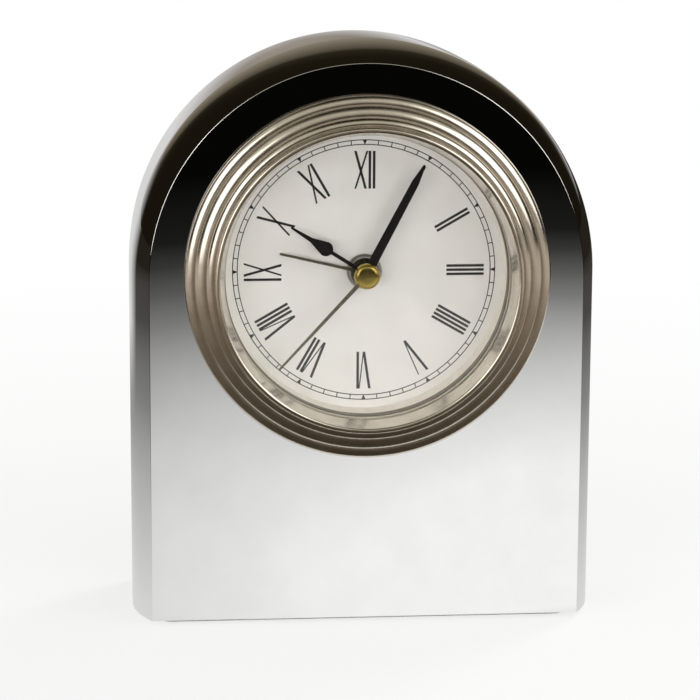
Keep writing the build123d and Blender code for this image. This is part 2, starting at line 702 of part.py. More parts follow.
def make_train_bridge():
    """Rear bearing plate of the train, moulded in one with the well for the cell."""
    centre = (0, BRIDGE_RISE)
    bridge = disc(BRIDGE_RADIUS, BRIDGE_DEPTH, BRIDGE_THICKNESS, centre)
    bridge -= below_bridge(BRIDGE_DEPTH, BRIDGE_THICKNESS)
    for place in POST_PLACES:
        bridge += disc(POST_LUG_RADIUS, BRIDGE_DEPTH, BRIDGE_THICKNESS, place)
    for place in STATOR_POSTS:
        start = STATOR_DEPTH + STATOR_THICKNESS
        bridge += disc(STATOR_POST_RADIUS, start, BRIDGE_DEPTH - start, place)
    contact_seat = CELL_DEPTH - CONTACT_THICKNESS
    well_start = contact_seat - WELL_FLOOR
    bridge += disc(WELL_RADIUS + WELL_WALL, well_start, WELL_END - well_start, CELL_PLACE)
    bridge -= disc(WELL_RADIUS, contact_seat, WELL_END - contact_seat + CUT_MARGIN, CELL_PLACE)
    holes = [(BUZZER_RADIUS + BUZZER_CLEARANCE, BUZZER_PLACE)]
    holes.append((SECOND_ARBOR_RADIUS + PIVOT_CLEARANCE, CENTRE))
    for place in (FIFTH_PLACE, THIRD_PLACE, ROTOR_PLACE):
        holes.append((ARBOR_RADIUS + PIVOT_CLEARANCE, place))
    for place in (MINUTE_PLACE, ALARM_PLACE):
        holes.append((SETTING_ARBOR_RADIUS + PIVOT_CLEARANCE, place))
    for place in POST_PLACES:
        holes.append((SMALL_SCREW_RADIUS + SCREW_HOLE_CLEARANCE, place))
    for radius, place in holes:
        bridge -= drill(radius, BRIDGE_DEPTH, BRIDGE_THICKNESS, place)
    return placed(bridge)


def make_bridge_screws():
    return Compound([placed(small_screw(place, BRIDGE_BACK)) for place in POST_PLACES])


def make_rear_cover():
    """Back of the insert, with openings for the controls, the cell and the sound."""
    level = (MOVEMENT_DEPTH, REAR_COVER_THICKNESS)
    cover = disc(CUP_RADIUS, *level)
    for place in (MINUTE_PLACE, ALARM_PLACE):
        cover -= drill(SETTING_ARBOR_RADIUS + PIVOT_CLEARANCE, *level, place)
    cover -= drill(DOOR_RADIUS, *level, CELL_PLACE)
    notch_length = 2 * (DOOR_RADIUS + DOOR_LUG + CAP_CLEARANCE)
    notch_width = 2 * (DOOR_LUG_HALF_WIDTH + CAP_CLEARANCE)
    notch = Rot(0, 0, -DOOR_TURN) * window(notch_length, notch_width, *level)
    cover -= Pos(*CELL_PLACE, 0) * notch
    slot_length = SWITCH_STEM[0] + SWITCH_TRAVEL + 2 * SWITCH_GAP
    slot_middle = (SWITCH_PLACE[0] + SWITCH_TRAVEL / 2, SWITCH_PLACE[1])
    cover -= window(slot_length, SWITCH_STEM[1] + 2 * SWITCH_GAP, *level, slot_middle)
    cover -= drill(SOUND_HOLE_RADIUS, *level, BUZZER_PLACE)
    for index in range(SOUND_HOLE_COUNT):
        across, up = polar(SOUND_HOLE_CIRCLE, 360 * index / SOUND_HOLE_COUNT)
        cover -= drill(SOUND_HOLE_RADIUS, *level, (BUZZER_PLACE[0] + across, BUZZER_PLACE[1] + up))
    for place in pillar_places():
        cover -= drill(SMALL_SCREW_RADIUS + SCREW_HOLE_CLEARANCE, *level, place)
    return placed(cover)


def make_rear_cover_screws():
    return Compound([placed(small_screw(place, COVER_BACK)) for place in pillar_places()])


# Gear train


def seconds_module():
    return module_of(CENTRE_TO_FIFTH, SECONDS_WHEEL_TEETH, FIFTH_PINION_TEETH)


def third_module():
    return module_of(CENTRE_TO_THIRD, SECONDS_PINION_TEETH, THIRD_WHEEL_TEETH)


def centre_module():
    return module_of(CENTRE_TO_THIRD, THIRD_PINION_TEETH, CENTRE_WHEEL_TEETH)


def rotor_module():
    return module_of(FIFTH_TO_ROTOR, FIFTH_WHEEL_TEETH, ROTOR_PINION_TEETH)


def minute_module():
    return module_of(CENTRE_TO_MINUTE, CANNON_PINION_TEETH, MINUTE_WHEEL_TEETH)


def hour_module():
    return module_of(CENTRE_TO_MINUTE, MINUTE_PINION_TEETH, HOUR_WHEEL_TEETH)


def alarm_module():
    return module_of(CENTRE_TO_ALARM, ALARM_WHEEL_TEETH, ALARM_PINION_TEETH)


def wheel(teeth, module, level, at, towards, hub):
    """Large wheel of a pair: a gap points at its mate, and the web is cut into spokes."""
    depth, thickness = level
    blank = gear(teeth, module, depth, thickness, at, towards, False)
    return lightened(blank, teeth, module, depth, thickness, at, hub)


def pinion(teeth, module, level, at, towards):
    """Small wheel of a pair: a tooth points at its mate, and it is a little longer than the mate."""
    depth, thickness = level
    return gear(
        teeth,
        module,
        depth - PINION_OVERHANG,
        thickness + 2 * PINION_OVERHANG,
        at,
        towards,
        True,
    )


def make_rotor_arbor():
    solid = pinion(ROTOR_PINION_TEETH, rotor_module(), FIFTH_LEVEL, ROTOR_PLACE, FIFTH_PLACE)
    return placed(solid + arbor(ROTOR_PLACE))


def make_rotor_magnet():
    depth, thickness = ROTOR_MAGNET_LEVEL
    return placed(ring(ROTOR_MAGNET_RADIUS, ARBOR_RADIUS + HAND_FIT, depth, thickness, ROTOR_PLACE))


def make_fifth_wheel():
    solid = wheel(FIFTH_WHEEL_TEETH, rotor_module(), FIFTH_LEVEL, FIFTH_PLACE, ROTOR_PLACE, WHEEL_HUB)
    solid += pinion(FIFTH_PINION_TEETH, seconds_module(), SECONDS_LEVEL, FIFTH_PLACE, CENTRE)
    return placed(solid + arbor(FIFTH_PLACE))


def make_seconds_wheel():
    solid = wheel(SECONDS_WHEEL_TEETH, seconds_module(), SECONDS_LEVEL, CENTRE, FIFTH_PLACE, WHEEL_HUB)
    solid += pinion(SECONDS_PINION_TEETH, third_module(), THIRD_LEVEL, CENTRE, THIRD_PLACE)
    cap_back = SECOND_HAND_DEPTH - CAP_HEIGHT / 2
    solid += disc(SECOND_ARBOR_RADIUS, cap_back, PIVOT_BACK - cap_back)
    return placed(solid)


def make_third_wheel():
    solid = wheel(THIRD_WHEEL_TEETH, third_module(), THIRD_LEVEL, THIRD_PLACE, CENTRE, WHEEL_HUB)
    solid += pinion(THIRD_PINION_TEETH, centre_module(), CENTRE_LEVEL, THIRD_PLACE, CENTRE)
    return placed(solid + arbor(THIRD_PLACE))


def make_centre_wheel():
    depth, thickness = CENTRE_LEVEL
    hub = COLLAR_RADIUS + WHEEL_RIM
    solid = wheel(CENTRE_WHEEL_TEETH, centre_module(), CENTRE_LEVEL, CENTRE, THIRD_PLACE, hub)
    return placed(solid - drill(MINUTE_PIPE_RADIUS + RUNNING_CLEARANCE, depth, thickness))


def make_clutch_spring():
    """Friction washer through which the centre wheel drives the minute pipe."""
    start = sum(CANNON_LEVEL) + CLUTCH_GAP
    thickness = CENTRE_LEVEL[0] - CLUTCH_GAP - start
    return placed(ring(CLUTCH_RADIUS, MINUTE_PIPE_RADIUS + HAND_FIT, start, thickness))


def make_minute_pipe():
    """Pipe of the minute hand with the cannon pinion and the collar behind the centre wheel."""
    depth, thickness = CANNON_LEVEL
    collar_start = sum(CENTRE_LEVEL) + CLUTCH_GAP
    end = collar_start + COLLAR_THICKNESS
    solid = gear(CANNON_PINION_TEETH, minute_module(), depth, thickness, CENTRE, MINUTE_PLACE, True)
    solid += disc(MINUTE_PIPE_RADIUS, MINUTE_HAND_DEPTH, end - MINUTE_HAND_DEPTH)
    solid += disc(COLLAR_RADIUS, collar_start, COLLAR_THICKNESS)
    return placed(solid - drill(MINUTE_BORE, MINUTE_HAND_DEPTH, end - MINUTE_HAND_DEPTH))


def make_minute_wheel():
    """Wheel of the motion work, on the arbor that the time-setting knob turns."""
    level = (CANNON_LEVEL[0] + PINION_OVERHANG, CANNON_LEVEL[1] - 2 * PINION_OVERHANG)
    hub = SETTING_ARBOR_RADIUS + WHEEL_RIM
    solid = wheel(MINUTE_WHEEL_TEETH, minute_module(), level, MINUTE_PLACE, CENTRE, hub)
    solid += pinion(MINUTE_PINION_TEETH, hour_module(), HOUR_LEVEL, MINUTE_PLACE, CENTRE)
    end = KNOB_FRONT_DEPTH + KNOB_SOCKET
    return placed(solid + arbor(MINUTE_PLACE, SETTING_ARBOR_RADIUS, PIVOT_FRONT, end))


def piped_wheel(teeth, module, level, towards, pipe_radius, bore, front):
    """Wheel on the dial's axis with a pipe forward to its hand."""
    depth, thickness = level
    end = depth + thickness
    solid = wheel(teeth, module, level, CENTRE, towards, pipe_radius + WHEEL_RIM)
    solid += disc(pipe_radius, front, end - front)
    return placed(solid - drill(bore, front, end - front))


def make_hour_wheel():
    return piped_wheel(
        HOUR_WHEEL_TEETH,
        hour_module(),
        HOUR_LEVEL,
        MINUTE_PLACE,
        HOUR_PIPE_RADIUS,
        HOUR_BORE,
        HOUR_HAND_DEPTH,
    )


def make_alarm_wheel():
    return piped_wheel(
        ALARM_WHEEL_TEETH,
        alarm_module(),
        ALARM_LEVEL,
        ALARM_PLACE,
        ALARM_PIPE_RADIUS,
        ALARM_BORE,
        ALARM_HAND_DEPTH,
    )


def make_alarm_setting_arbor():
    solid = pinion(ALARM_PINION_TEETH, alarm_module(), ALARM_LEVEL, ALARM_PLACE, CENTRE)
    end = KNOB_FRONT_DEPTH + KNOB_SOCKET
    return placed(solid + arbor(ALARM_PLACE, SETTING_ARBOR_RADIUS, PIVOT_FRONT, end))


# Hands


def hand(outline, angle, depth, boss_radius, pipe_radius):
    """Flat hand with a boss pressed on its pipe, turned clockwise from twelve."""
    blade = Pos(0, 0, -depth - HAND_THICKNESS) * extrude(outline, HAND_THICKNESS)
    solid = blade + disc(boss_radius, depth, BOSS_THICKNESS)
    solid -= drill(pipe_radius + HAND_FIT, depth, BOSS_THICKNESS)
    return placed(Rot(0, 0, -angle) * solid)


def tapered_blade(length, root_width, tip_width):
    """Straight blade from the axis to a rounded tip."""
    tip = tip_width / 2
    return Polygon(
        (-root_width / 2, 0),
        (root_width / 2, 0),
        (tip, length - tip),
        (-tip, length - tip),
        align=None,
    ) + Pos(0, length - tip) * Circle(tip)


def make_alarm_hand():
    outline = tapered_blade(ALARM_HAND_LENGTH, *ALARM_HAND_WIDTHS)
    return hand(outline, ALARM_HAND_ANGLE, ALARM_HAND_DEPTH, ALARM_BOSS_RADIUS, ALARM_PIPE_RADIUS)


def make_hour_hand():
    """Pear-shaped hand: a thin stem, a swelling and a long fine point."""
    pear = Pos(0, HOUR_PEAR_REACH) * Circle(HOUR_PEAR_RADIUS)
    neck = Pos(0, HOUR_NECK_REACH) * Circle(HOUR_NECK_RADIUS)
    tip = Pos(0, HOUR_HAND_LENGTH - HOUR_TIP_RADIUS) * Circle(HOUR_TIP_RADIUS)
    stem = Pos(0, HOUR_PEAR_REACH / 2) * Rectangle(HOUR_STEM_WIDTH, HOUR_PEAR_REACH)
    outline = stem + make_hull((pear + neck).edges()) + make_hull((neck + tip).edges())
    return hand(outline, HOUR_HAND_ANGLE, HOUR_HAND_DEPTH, HOUR_BOSS_RADIUS, HOUR_PIPE_RADIUS)


def make_minute_hand():
    """Baton hand that keeps nearly its full width and ends in a fine point."""
    root, shoulder, tip = (width / 2 for width in MINUTE_HAND_WIDTHS)
    outline = Polygon(
        (-root, 0),
        (root, 0),
        (shoulder, MINUTE_SHOULDER_REACH),
        (tip, MINUTE_HAND_LENGTH),
        (-tip, MINUTE_HAND_LENGTH),
        (-shoulder, MINUTE_SHOULDER_REACH),
        align=None,
    )
    return hand(outline, MINUTE_HAND_ANGLE, MINUTE_HAND_DEPTH, MINUTE_BOSS_RADIUS, MINUTE_PIPE_RADIUS)


def make_second_hand():
    outline = tapered_blade(SECOND_HAND_LENGTH, *SECOND_HAND_WIDTHS)
    return hand(outline, SECOND_HAND_ANGLE, SECOND_HAND_DEPTH, SECOND_BOSS_RADIUS, SECOND_ARBOR_RADIUS)


def make_second_hand_cap():
    """Domed button that covers the second hand's boss."""
    start = SECOND_HAND_DEPTH - CAP_HEIGHT
    cap = disc(CAP_RADIUS, start, CAP_HEIGHT)
    cap = fillet(cap.edges().sort_by(Axis.Z)[-1], CAP_ROUNDING)
    return placed(cap - disc(SECOND_ARBOR_RADIUS + HAND_FIT, start + CAP_HEIGHT / 2, CAP_HEIGHT))


# Electrical pieces


def make_button_cell():
    cell = disc(CELL_RADIUS, CELL_DEPTH, CELL_HEIGHT, CELL_PLACE)
    return placed(chamfer(cell.edges().sort_by(Axis.Z)[-1], CELL_CHAMFER))


def make_cell_contact_minus():
    start = CELL_DEPTH - CONTACT_THICKNESS
    return placed(disc(CONTACT_RADIUS, start, CONTACT_THICKNESS, CELL_PLACE))


def make_cell_contact_plus():
    """Curved leaf between the cell's rim and the wall of its well."""
    inner = CELL_RADIUS + CONTACT_GAP
    outer = WELL_RADIUS - CONTACT_GAP
    leaf = ring(outer, inner, CELL_DEPTH + CELL_CHAMFER, CELL_HEIGHT - 2 * CELL_CHAMFER)
    leaf &= block(2 * outer, CONTACT_LEAF_WIDTH, CELL_DEPTH, CELL_HEIGHT, (-outer, 0))
    return placed(Pos(*CELL_PLACE, 0) * leaf)


def make_battery_cap():
    """Bayonet cap over the cell with a coin slot and two lugs under the rear cover."""
    radius = DOOR_RADIUS - CAP_CLEARANCE
    skirt_bore = CELL_RADIUS + CAP_CLEARANCE
    inside = CELL_DEPTH + CELL_HEIGHT + CAP_CLEARANCE
    lug_depth = MOVEMENT_DEPTH - DOOR_LUG_GAP - DOOR_LUG_THICKNESS
    lugs = ring(DOOR_RADIUS + DOOR_LUG, skirt_bore, lug_depth, DOOR_LUG_THICKNESS)
    lugs &= block(4 * DOOR_RADIUS, 2 * DOOR_LUG_HALF_WIDTH, lug_depth, DOOR_LUG_THICKNESS)
    cap = disc(radius, inside, COVER_BACK - inside)
    cap += ring(radius, skirt_bore, lug_depth, inside - lug_depth) + lugs
    slot_length = 2 * (radius - DOOR_SLOT_WIDTH)
    slot_start = COVER_BACK - DOOR_SLOT_DEPTH
    cap -= block(slot_length, DOOR_SLOT_WIDTH, slot_start, DOOR_SLOT_DEPTH + CUT_MARGIN)
    return placed(Pos(*CELL_PLACE, 0) * cap)


def make_buzzer():
    start = MOVEMENT_DEPTH - BUZZER_HEIGHT
    body = disc(BUZZER_RADIUS, start, BUZZER_HEIGHT, BUZZER_PLACE)
    throat_radius = SOUND_HOLE_CIRCLE + SOUND_HOLE_RADIUS
    throat_start = MOVEMENT_DEPTH - BUZZER_THROAT_DEPTH
    throat = disc(throat_radius, throat_start, BUZZER_THROAT_DEPTH + CUT_MARGIN, BUZZER_PLACE)
    return placed(body - throat)


def make_circuit_board():
    """Board on the back of the bridge, below the cell and the buzzer."""
    level = (BRIDGE_BACK, BOARD_THICKNESS)
    board = disc(BRIDGE_RADIUS - BOARD_MARGIN, *level, (0, BRIDGE_RISE))
    reach = 2 * BRIDGE_RADIUS
    board -= window(2 * reach, reach, *level, (0, BOARD_UPPER_EDGE + reach / 2))
    board -= below_bridge(*level)
    holes = [(WELL_RADIUS + WELL_WALL, CELL_PLACE)]
    for place in (MINUTE_PLACE, ALARM_PLACE):
        holes.append((SETTING_ARBOR_RADIUS, place))
    for place in POST_PLACES:
        holes.append((SMALL_HEAD_RADIUS, place))
    for radius, place in holes:
        board -= drill(radius + BOARD_HOLE_CLEARANCE, *level, place)
    return placed(board)


def make_timing_chip():
    """Drop of resin over the chip."""
    chip = block(CHIP_SIDE, CHIP_SIDE, BOARD_BACK, CHIP_HEIGHT, CHIP_PLACE)
    return placed(fillet(chip.edges().filter_by(Axis.Z), CHIP_CORNER))


def make_quartz_crystal():
    can = Rot(0, 90, 0) * Cylinder(CRYSTAL_RADIUS, CRYSTAL_LENGTH)
    return placed(Pos(CRYSTAL_PLACE[0], CRYSTAL_PLACE[1], -BOARD_BACK - CRYSTAL_RADIUS) * can)


def make_stator():
    """Flat pole plate round the rotor with two feet under the ends of the coil's core."""
    foot_low = COIL_AXIS_HEIGHT - CORE_WIDTH / 2
    start, thickness = STATOR_DEPTH, STATOR_THICKNESS
    plate = disc(STATOR_EYE_RADIUS, start, thickness, ROTOR_PLACE)
    bar_middle = (STATOR_BAR_TOP + STATOR_BAR_LOW) / 2
    bar_right = ROTOR_PLACE[0]
    bar_length = bar_right + STATOR_HALF_SPAN
    bar_place = (bar_right - bar_length / 2, bar_middle)
    plate += block(bar_length, STATOR_BAR_TOP - STATOR_BAR_LOW, start, thickness, bar_place)
    foot_height = STATOR_BAR_TOP - foot_low
    for side in (-1, 1):
        place = (side * (STATOR_HALF_SPAN - STATOR_FOOT / 2), foot_low + foot_height / 2)
        plate += block(STATOR_FOOT, foot_height, start, thickness, place)
    return placed(plate - drill(ROTOR_MAGNET_RADIUS + STATOR_GAP, start, thickness, ROTOR_PLACE))


def along_coil(radius, half_length):
    """Cylinder about the coil's axis, which runs across the clock."""
    depth = STATOR_DEPTH - CORE_THICKNESS / 2
    return Pos(0, COIL_AXIS_HEIGHT, -depth) * (Rot(0, 90, 0) * Cylinder(radius, 2 * half_length))


def make_coil_core():
    depth = STATOR_DEPTH - CORE_THICKNESS
    return placed(block(2 * STATOR_HALF_SPAN, CORE_WIDTH, depth, CORE_THICKNESS, (0, COIL_AXIS_HEIGHT)))


def make_coil_bobbin():
    spool = along_coil(BOBBIN_FLANGE_RADIUS, COIL_HALF_LENGTH)
    spool -= along_coil(2 * BOBBIN_FLANGE_RADIUS, COIL_HALF_LENGTH - BOBBIN_FLANGE)
    spool += along_coil(BOBBIN_RADIUS, COIL_HALF_LENGTH)
    hole = CORE_THICKNESS + 2 * CORE_CLEARANCE
    depth = STATOR_DEPTH - CORE_THICKNESS - CORE_CLEARANCE
    width = CORE_WIDTH + 2 * CORE_CLEARANCE
    spool -= block(4 * COIL_HALF_LENGTH, width, depth, hole, (0, COIL_AXIS_HEIGHT))
    return placed(spool)


def make_coil_winding():
    half_length = COIL_HALF_LENGTH - BOBBIN_FLANGE - CORE_CLEARANCE
    inner = BOBBIN_RADIUS + CORE_CLEARANCE
    return placed(along_coil(WINDING_RADIUS, half_length) - along_coil(inner, COIL_HALF_LENGTH))


# Controls


def knob(place):
    """Fluted knob pushed on the end of a setting arbor."""
    body = disc(KNOB_RADIUS, KNOB_FRONT_DEPTH, KNOB_HEIGHT)
    body = chamfer(body.edges().sort_by(Axis.Z)[0], KNOB_EDGE)
    for index in range(KNOB_FLUTES):
        flute_place = polar(KNOB_RADIUS, 360 * index / KNOB_FLUTES)
        body -= drill(KNOB_FLUTE_RADIUS, KNOB_FRONT_DEPTH, KNOB_HEIGHT, flute_place)
    socket_start = KNOB_FRONT_DEPTH - CUT_MARGIN
    body -= disc(SETTING_ARBOR_RADIUS + HAND_FIT, socket_start, KNOB_SOCKET + CUT_MARGIN)
    return placed(Pos(*place, 0) * body)


def make_time_knob():
    return knob(MINUTE_PLACE)


def make_alarm_knob():
    return knob(ALARM_PLACE)


def make_alarm_switch():
    """Slide switch: an inner plate, a stem through the slot and a ribbed thumb piece."""
    plate_width, plate_height, plate_thickness = SWITCH_PLATE
    thumb_width, thumb_height, thumb_thickness = SWITCH_THUMB
    plate_start = MOVEMENT_DEPTH - SWITCH_GAP - plate_thickness
    thumb_start = COVER_BACK + SWITCH_GAP
    solid = block(plate_width, plate_height, plate_start, plate_thickness, SWITCH_PLACE)
    solid += block(SWITCH_STEM[0], SWITCH_STEM[1], plate_start, thumb_start - plate_start, SWITCH_PLACE)
    solid += block(thumb_width, thumb_height, thumb_start, thumb_thickness, SWITCH_PLACE)
    groove_start = thumb_start + thumb_thickness - THUMB_GROOVE_DEPTH
    for index in range(THUMB_GROOVES):
        across = SWITCH_PLACE[0] + (index - (THUMB_GROOVES - 1) / 2) * THUMB_GROOVE_PITCH
        place = (across, SWITCH_PLACE[1])
        groove_height = thumb_height + CUT_MARGIN
        groove_cut = THUMB_GROOVE_DEPTH + CUT_MARGIN
        solid -= block(THUMB_GROOVE_WIDTH, groove_height, groove_start, groove_cut, place)
    return placed(solid)


PIECES = {
    "case_shell": make_case_shell,
    "back_plate": make_back_plate,
    "back_plate_screws": make_back_plate_screws,
    "base_felt": make_base_felt,
    "bezel": make_bezel,
    "lens": make_lens,
    "lens_gasket": make_lens_gasket,
    "reflector_ring": make_reflector_ring,
    "dial": make_dial,
    "insert_cup": make_insert_cup,
    "grip_rings": make_grip_rings,
    "front_plate": make_front_plate,
    "centre_nut": make_centre_nut,
    "train_bridge": make_train_bridge,
    "bridge_screws": make_bridge_screws,
    "rear_cover": make_rear_cover,
    "rear_cover_screws": make_rear_cover_screws,
    "rotor_arbor": make_rotor_arbor,
    "rotor_magnet": make_rotor_magnet,
    "fifth_wheel": make_fifth_wheel,
    "seconds_wheel": make_seconds_wheel,
    "third_wheel": make_third_wheel,
    "centre_wheel": make_centre_wheel,
    "clutch_spring": make_clutch_spring,
    "minute_pipe": make_minute_pipe,
    "minute_wheel": make_minute_wheel,
    "hour_wheel": make_hour_wheel,
    "alarm_wheel": make_alarm_wheel,
    "alarm_setting_arbor": make_alarm_setting_arbor,
    "alarm_hand": make_alarm_hand,
    "hour_hand": make_hour_hand,
    "minute_hand": make_minute_hand,
    "second_hand": make_second_hand,
    "second_hand_cap": make_second_hand_cap,
    "button_cell": make_button_cell,
    "cell_contact_minus": make_cell_contact_minus,
    "cell_contact_plus": make_cell_contact_plus,
    "battery_cap": make_battery_cap,
    "buzzer": make_buzzer,
    "circuit_board": make_circuit_board,
    "timing_chip": make_timing_chip,
    "quartz_crystal": make_quartz_crystal,
    "stator": make_stator,
    "coil_core": make_coil_core,
    "coil_bobbin": make_coil_bobbin,
    "coil_winding": make_coil_winding,
    "time_knob": make_time_knob,
    "alarm_knob": make_alarm_knob,
    "alarm_switch": make_alarm_switch,
}


def main():
    os.makedirs("parts", exist_ok=True)
    for name, make in PIECES.items():
        export_step(make(), f"parts/{name}.step")


main()
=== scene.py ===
import json
import math
import bmesh
import bpy
from mathutils import Matrix, Vector


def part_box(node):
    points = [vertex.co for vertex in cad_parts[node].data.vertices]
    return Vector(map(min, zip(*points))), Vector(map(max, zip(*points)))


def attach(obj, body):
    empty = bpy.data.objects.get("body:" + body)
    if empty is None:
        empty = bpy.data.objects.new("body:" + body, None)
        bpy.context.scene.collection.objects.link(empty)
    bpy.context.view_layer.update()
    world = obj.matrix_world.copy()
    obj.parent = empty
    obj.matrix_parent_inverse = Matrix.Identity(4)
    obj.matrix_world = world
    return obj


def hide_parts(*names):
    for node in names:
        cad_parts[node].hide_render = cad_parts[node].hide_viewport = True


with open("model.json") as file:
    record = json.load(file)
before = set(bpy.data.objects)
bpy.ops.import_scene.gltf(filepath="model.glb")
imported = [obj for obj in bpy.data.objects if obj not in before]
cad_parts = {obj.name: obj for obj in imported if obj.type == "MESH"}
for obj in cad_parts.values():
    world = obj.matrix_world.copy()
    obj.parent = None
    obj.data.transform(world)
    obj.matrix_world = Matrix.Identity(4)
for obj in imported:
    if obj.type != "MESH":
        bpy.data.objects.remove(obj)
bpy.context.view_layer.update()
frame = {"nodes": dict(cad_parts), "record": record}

# Lengths are in metres. Depths run backwards from the case's flat front face.
MM = 0.001

# Places and sizes read from the frame
case_low, case_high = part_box("case_shell")
plate_low, plate_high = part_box("back_plate")
bezel_low, bezel_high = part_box("bezel")
lens_low, lens_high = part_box("lens")
dial_low, dial_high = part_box("dial")
cup_low, cup_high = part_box("insert_cup")
cap_low, cap_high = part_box("second_hand_cap")
hour_low, hour_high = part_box("hour_hand")
felt_low, felt_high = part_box("base_felt")
HALF_WIDTH = case_high.x
FACE_Y = case_low.y
CASE_DEPTH = case_high.y - FACE_Y
BASE_Z = case_low.z
ARCH_Z = case_high.z - HALF_WIDTH
DIAL_Z = (bezel_low.z + bezel_high.z) / 2
BEZEL_RADIUS = bezel_high.x
BEZEL_PROUD = FACE_Y - bezel_low.y
SKIRT_DEPTH = bezel_high.y - FACE_Y
LENS_RADIUS = lens_high.x
CUP_RADIUS = cup_high.x
CUP_FRONT = cup_low.y - FACE_Y
DIAL_DEPTH = dial_low.y - FACE_Y
CAP_RADIUS = (cap_high.x - cap_low.x) / 2
CAP_FRONT = cap_low.y - FACE_Y
CAP_BACK = cap_high.y - FACE_Y
PLATE_FRONT = plate_low.y - FACE_Y
HOUR_FRONT = hour_low.y - FACE_Y
HOUR_BACK = hour_high.y - FACE_Y

# Case
FACE_INSET = 3.6 * MM
SHOULDER_DEPTH = 13.0 * MM
FACE_EDGE_RADIUS = 0.18 * MM
HEEL_RADIUS = 1.0 * MM
SIDE_DRAW = 0.35 * MM
WALL = 3.0 * MM
FLOOR_THICKNESS = 4.0 * MM
RIM = 1.6 * MM
BORE_RADIUS = 30.0 * MM
COLLAR_WALL = 3.0 * MM
COLLAR_DEPTH = 14.0 * MM
BOSS_RADIUS = 3.0 * MM
BOSS_LENGTH = 12.0 * MM
BOSS_HOLE_RADIUS = 1.15 * MM
BOSS_INSET = 2.4 * MM
LOWER_BOSS_HEIGHT = 10.0 * MM
UPPER_BOSS_TURN = math.radians(50.0)
SIDE_STEPS = 24
ARCH_STEPS = 128
FOOT_STEPS = 32
EDGE_STEPS = 12
SHOULDER_STEPS = 32
BACK_STEPS = 12
HEEL_STEPS = 8
HOLLOW_STEPS = 16
BOSS_STEPS = 32

# Bezel and lens
BEZEL_FOOT = 1.6 * MM
BEAD_WIDTHS = (1.9 * MM, 2.1 * MM, 1.6 * MM)
BEAD_BULGE = 0.32 * MM
LIP_WIDTH = 1.1 * MM
LIP_FOOT = 4.4 * MM
LENS_BACK = 0.1 * MM
LENS_THICKNESS = 1.5 * MM
LENS_CROWN = 0.9 * MM
LENS_RIM = 0.6 * MM
LENS_SEAT = 0.1 * MM
LENS_OVERLAP = 0.5 * MM
# Thin ring of painted shade on the reflector ring, at the foot of the bezel's inner wall
SHADE_RING_DEPTH = 1.2 * MM
SHADE_RING_WIDTH = 2.0 * MM
SHADE_RING_RISE = 0.25 * MM
FIT = 0.1 * MM
TURN_STEPS = 256
BEAD_STEPS = 14
LIP_STEPS = 16
DOME_STEPS = 24

# Cap on the hands
CAP_EDGE = 1.1 * MM
CAP_DOME = 0.04 * MM
CAP_DOME_STEPS = 8
CAP_EDGE_STEPS = 10
CAP_TURN_STEPS = 96

# Hour hand
HOUR_TURN = 302.3
HOUR_BLADE = 0.35 * MM
HOUR_BEVEL = 0.08 * MM
HOUR_STEM = 0.7 * MM
HOUR_ROOT = 1.8 * MM
HOUR_PEAR = (9.1 * MM, 1.4 * MM)
HOUR_NECK = (12.4 * MM, 0.44 * MM)
HOUR_TIP = (16.8 * MM, 0.2 * MM)
HOUR_BOSS_RADIUS = 2.2 * MM
HOUR_HOLE_RADIUS = 1.48 * MM
HOUR_PEAR_STEPS = 24
HOUR_TIP_STEPS = 6
HOUR_TIP_END = 80.0
HOUR_BOSS_STEPS = 64

# Felt
FELT_CORNER = 2.5 * MM
FELT_SOFT_EDGE = 0.35 * MM
FELT_CORNER_STEPS = 8
FELT_CREASE = 60.0

# Dial print
HOUR_ANGLE = 30.0
INK = 0.02 * MM
TRACK_OUTER = 25.45 * MM
TRACK_INNER = 24.55 * MM
TRACK_LINE = 0.18 * MM
MARKER_WIDTH = 0.85 * MM
NUMERAL_FOOT = 16.0 * MM
NUMERAL_HEAD = 23.3 * MM
THICK_STROKE = 0.5 * MM
THIN_STROKE = 0.36 * MM
HAIR_STROKE = 0.22 * MM
BAR_PITCH = 0.82 * MM
X_WIDTH = 2.3 * MM
V_WIDTH = 2.0 * MM
X_THICK_FOOT = 0.87
V_THICK_FOOT = 0.55
V_HAIR_FOOT = 0.6
V_GAP = 0.6
NUMERALS = ("XII", "I", "II", "III", "IIII", "V", "VI", "VII", "VIII", "IX", "X", "XI")

# Camera
CAMERA_DISTANCE = 543.1 * MM
CAMERA_YAW = 5.176
CAMERA_PITCH = 11.611
CAMERA_ROLL = 0.284
CAMERA_LENS = 145.6
CAMERA_SENSOR = 36.0
CAMERA_NEAR = 0.01
CAMERA_AIM = Vector((-3.35 * MM, FACE_Y, 54.51 * MM))


# Mesh helpers


def add_piece(name, shape, finish, body="case", replaces=(), crease=35.0):
    """Makes a closed mesh into a piece, smooth but for edges sharper than a crease."""
    vertices, faces = shape
    mesh = bpy.data.meshes.new(name)
    mesh.from_pydata(vertices, [], faces)
    work = bmesh.new()
    work.from_mesh(mesh)
    bmesh.ops.recalc_face_normals(work, faces=work.faces)
    for face in work.faces:
        face.smooth = True
    work.to_mesh(mesh)
    work.free()
    mesh.set_sharp_from_angle(angle=math.radians(crease))
    mesh.materials.append(finish)
    piece = bpy.data.objects.new(name, mesh)
    bpy.context.scene.collection.objects.link(piece)
    even = piece.modifiers.new("even_shading", "WEIGHTED_NORMAL")
    even.keep_sharp = True
    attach(piece, body)
    if replaces:
        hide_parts(*replaces)
    return piece


def joined(shapes):
    """One vertex and face list from several."""
    vertices, faces = [], []
    for more_vertices, more_faces in shapes:
        start = len(vertices)
        vertices += more_vertices
        faces += [tuple(start + index for index in face) for face in more_faces]
    return vertices, faces


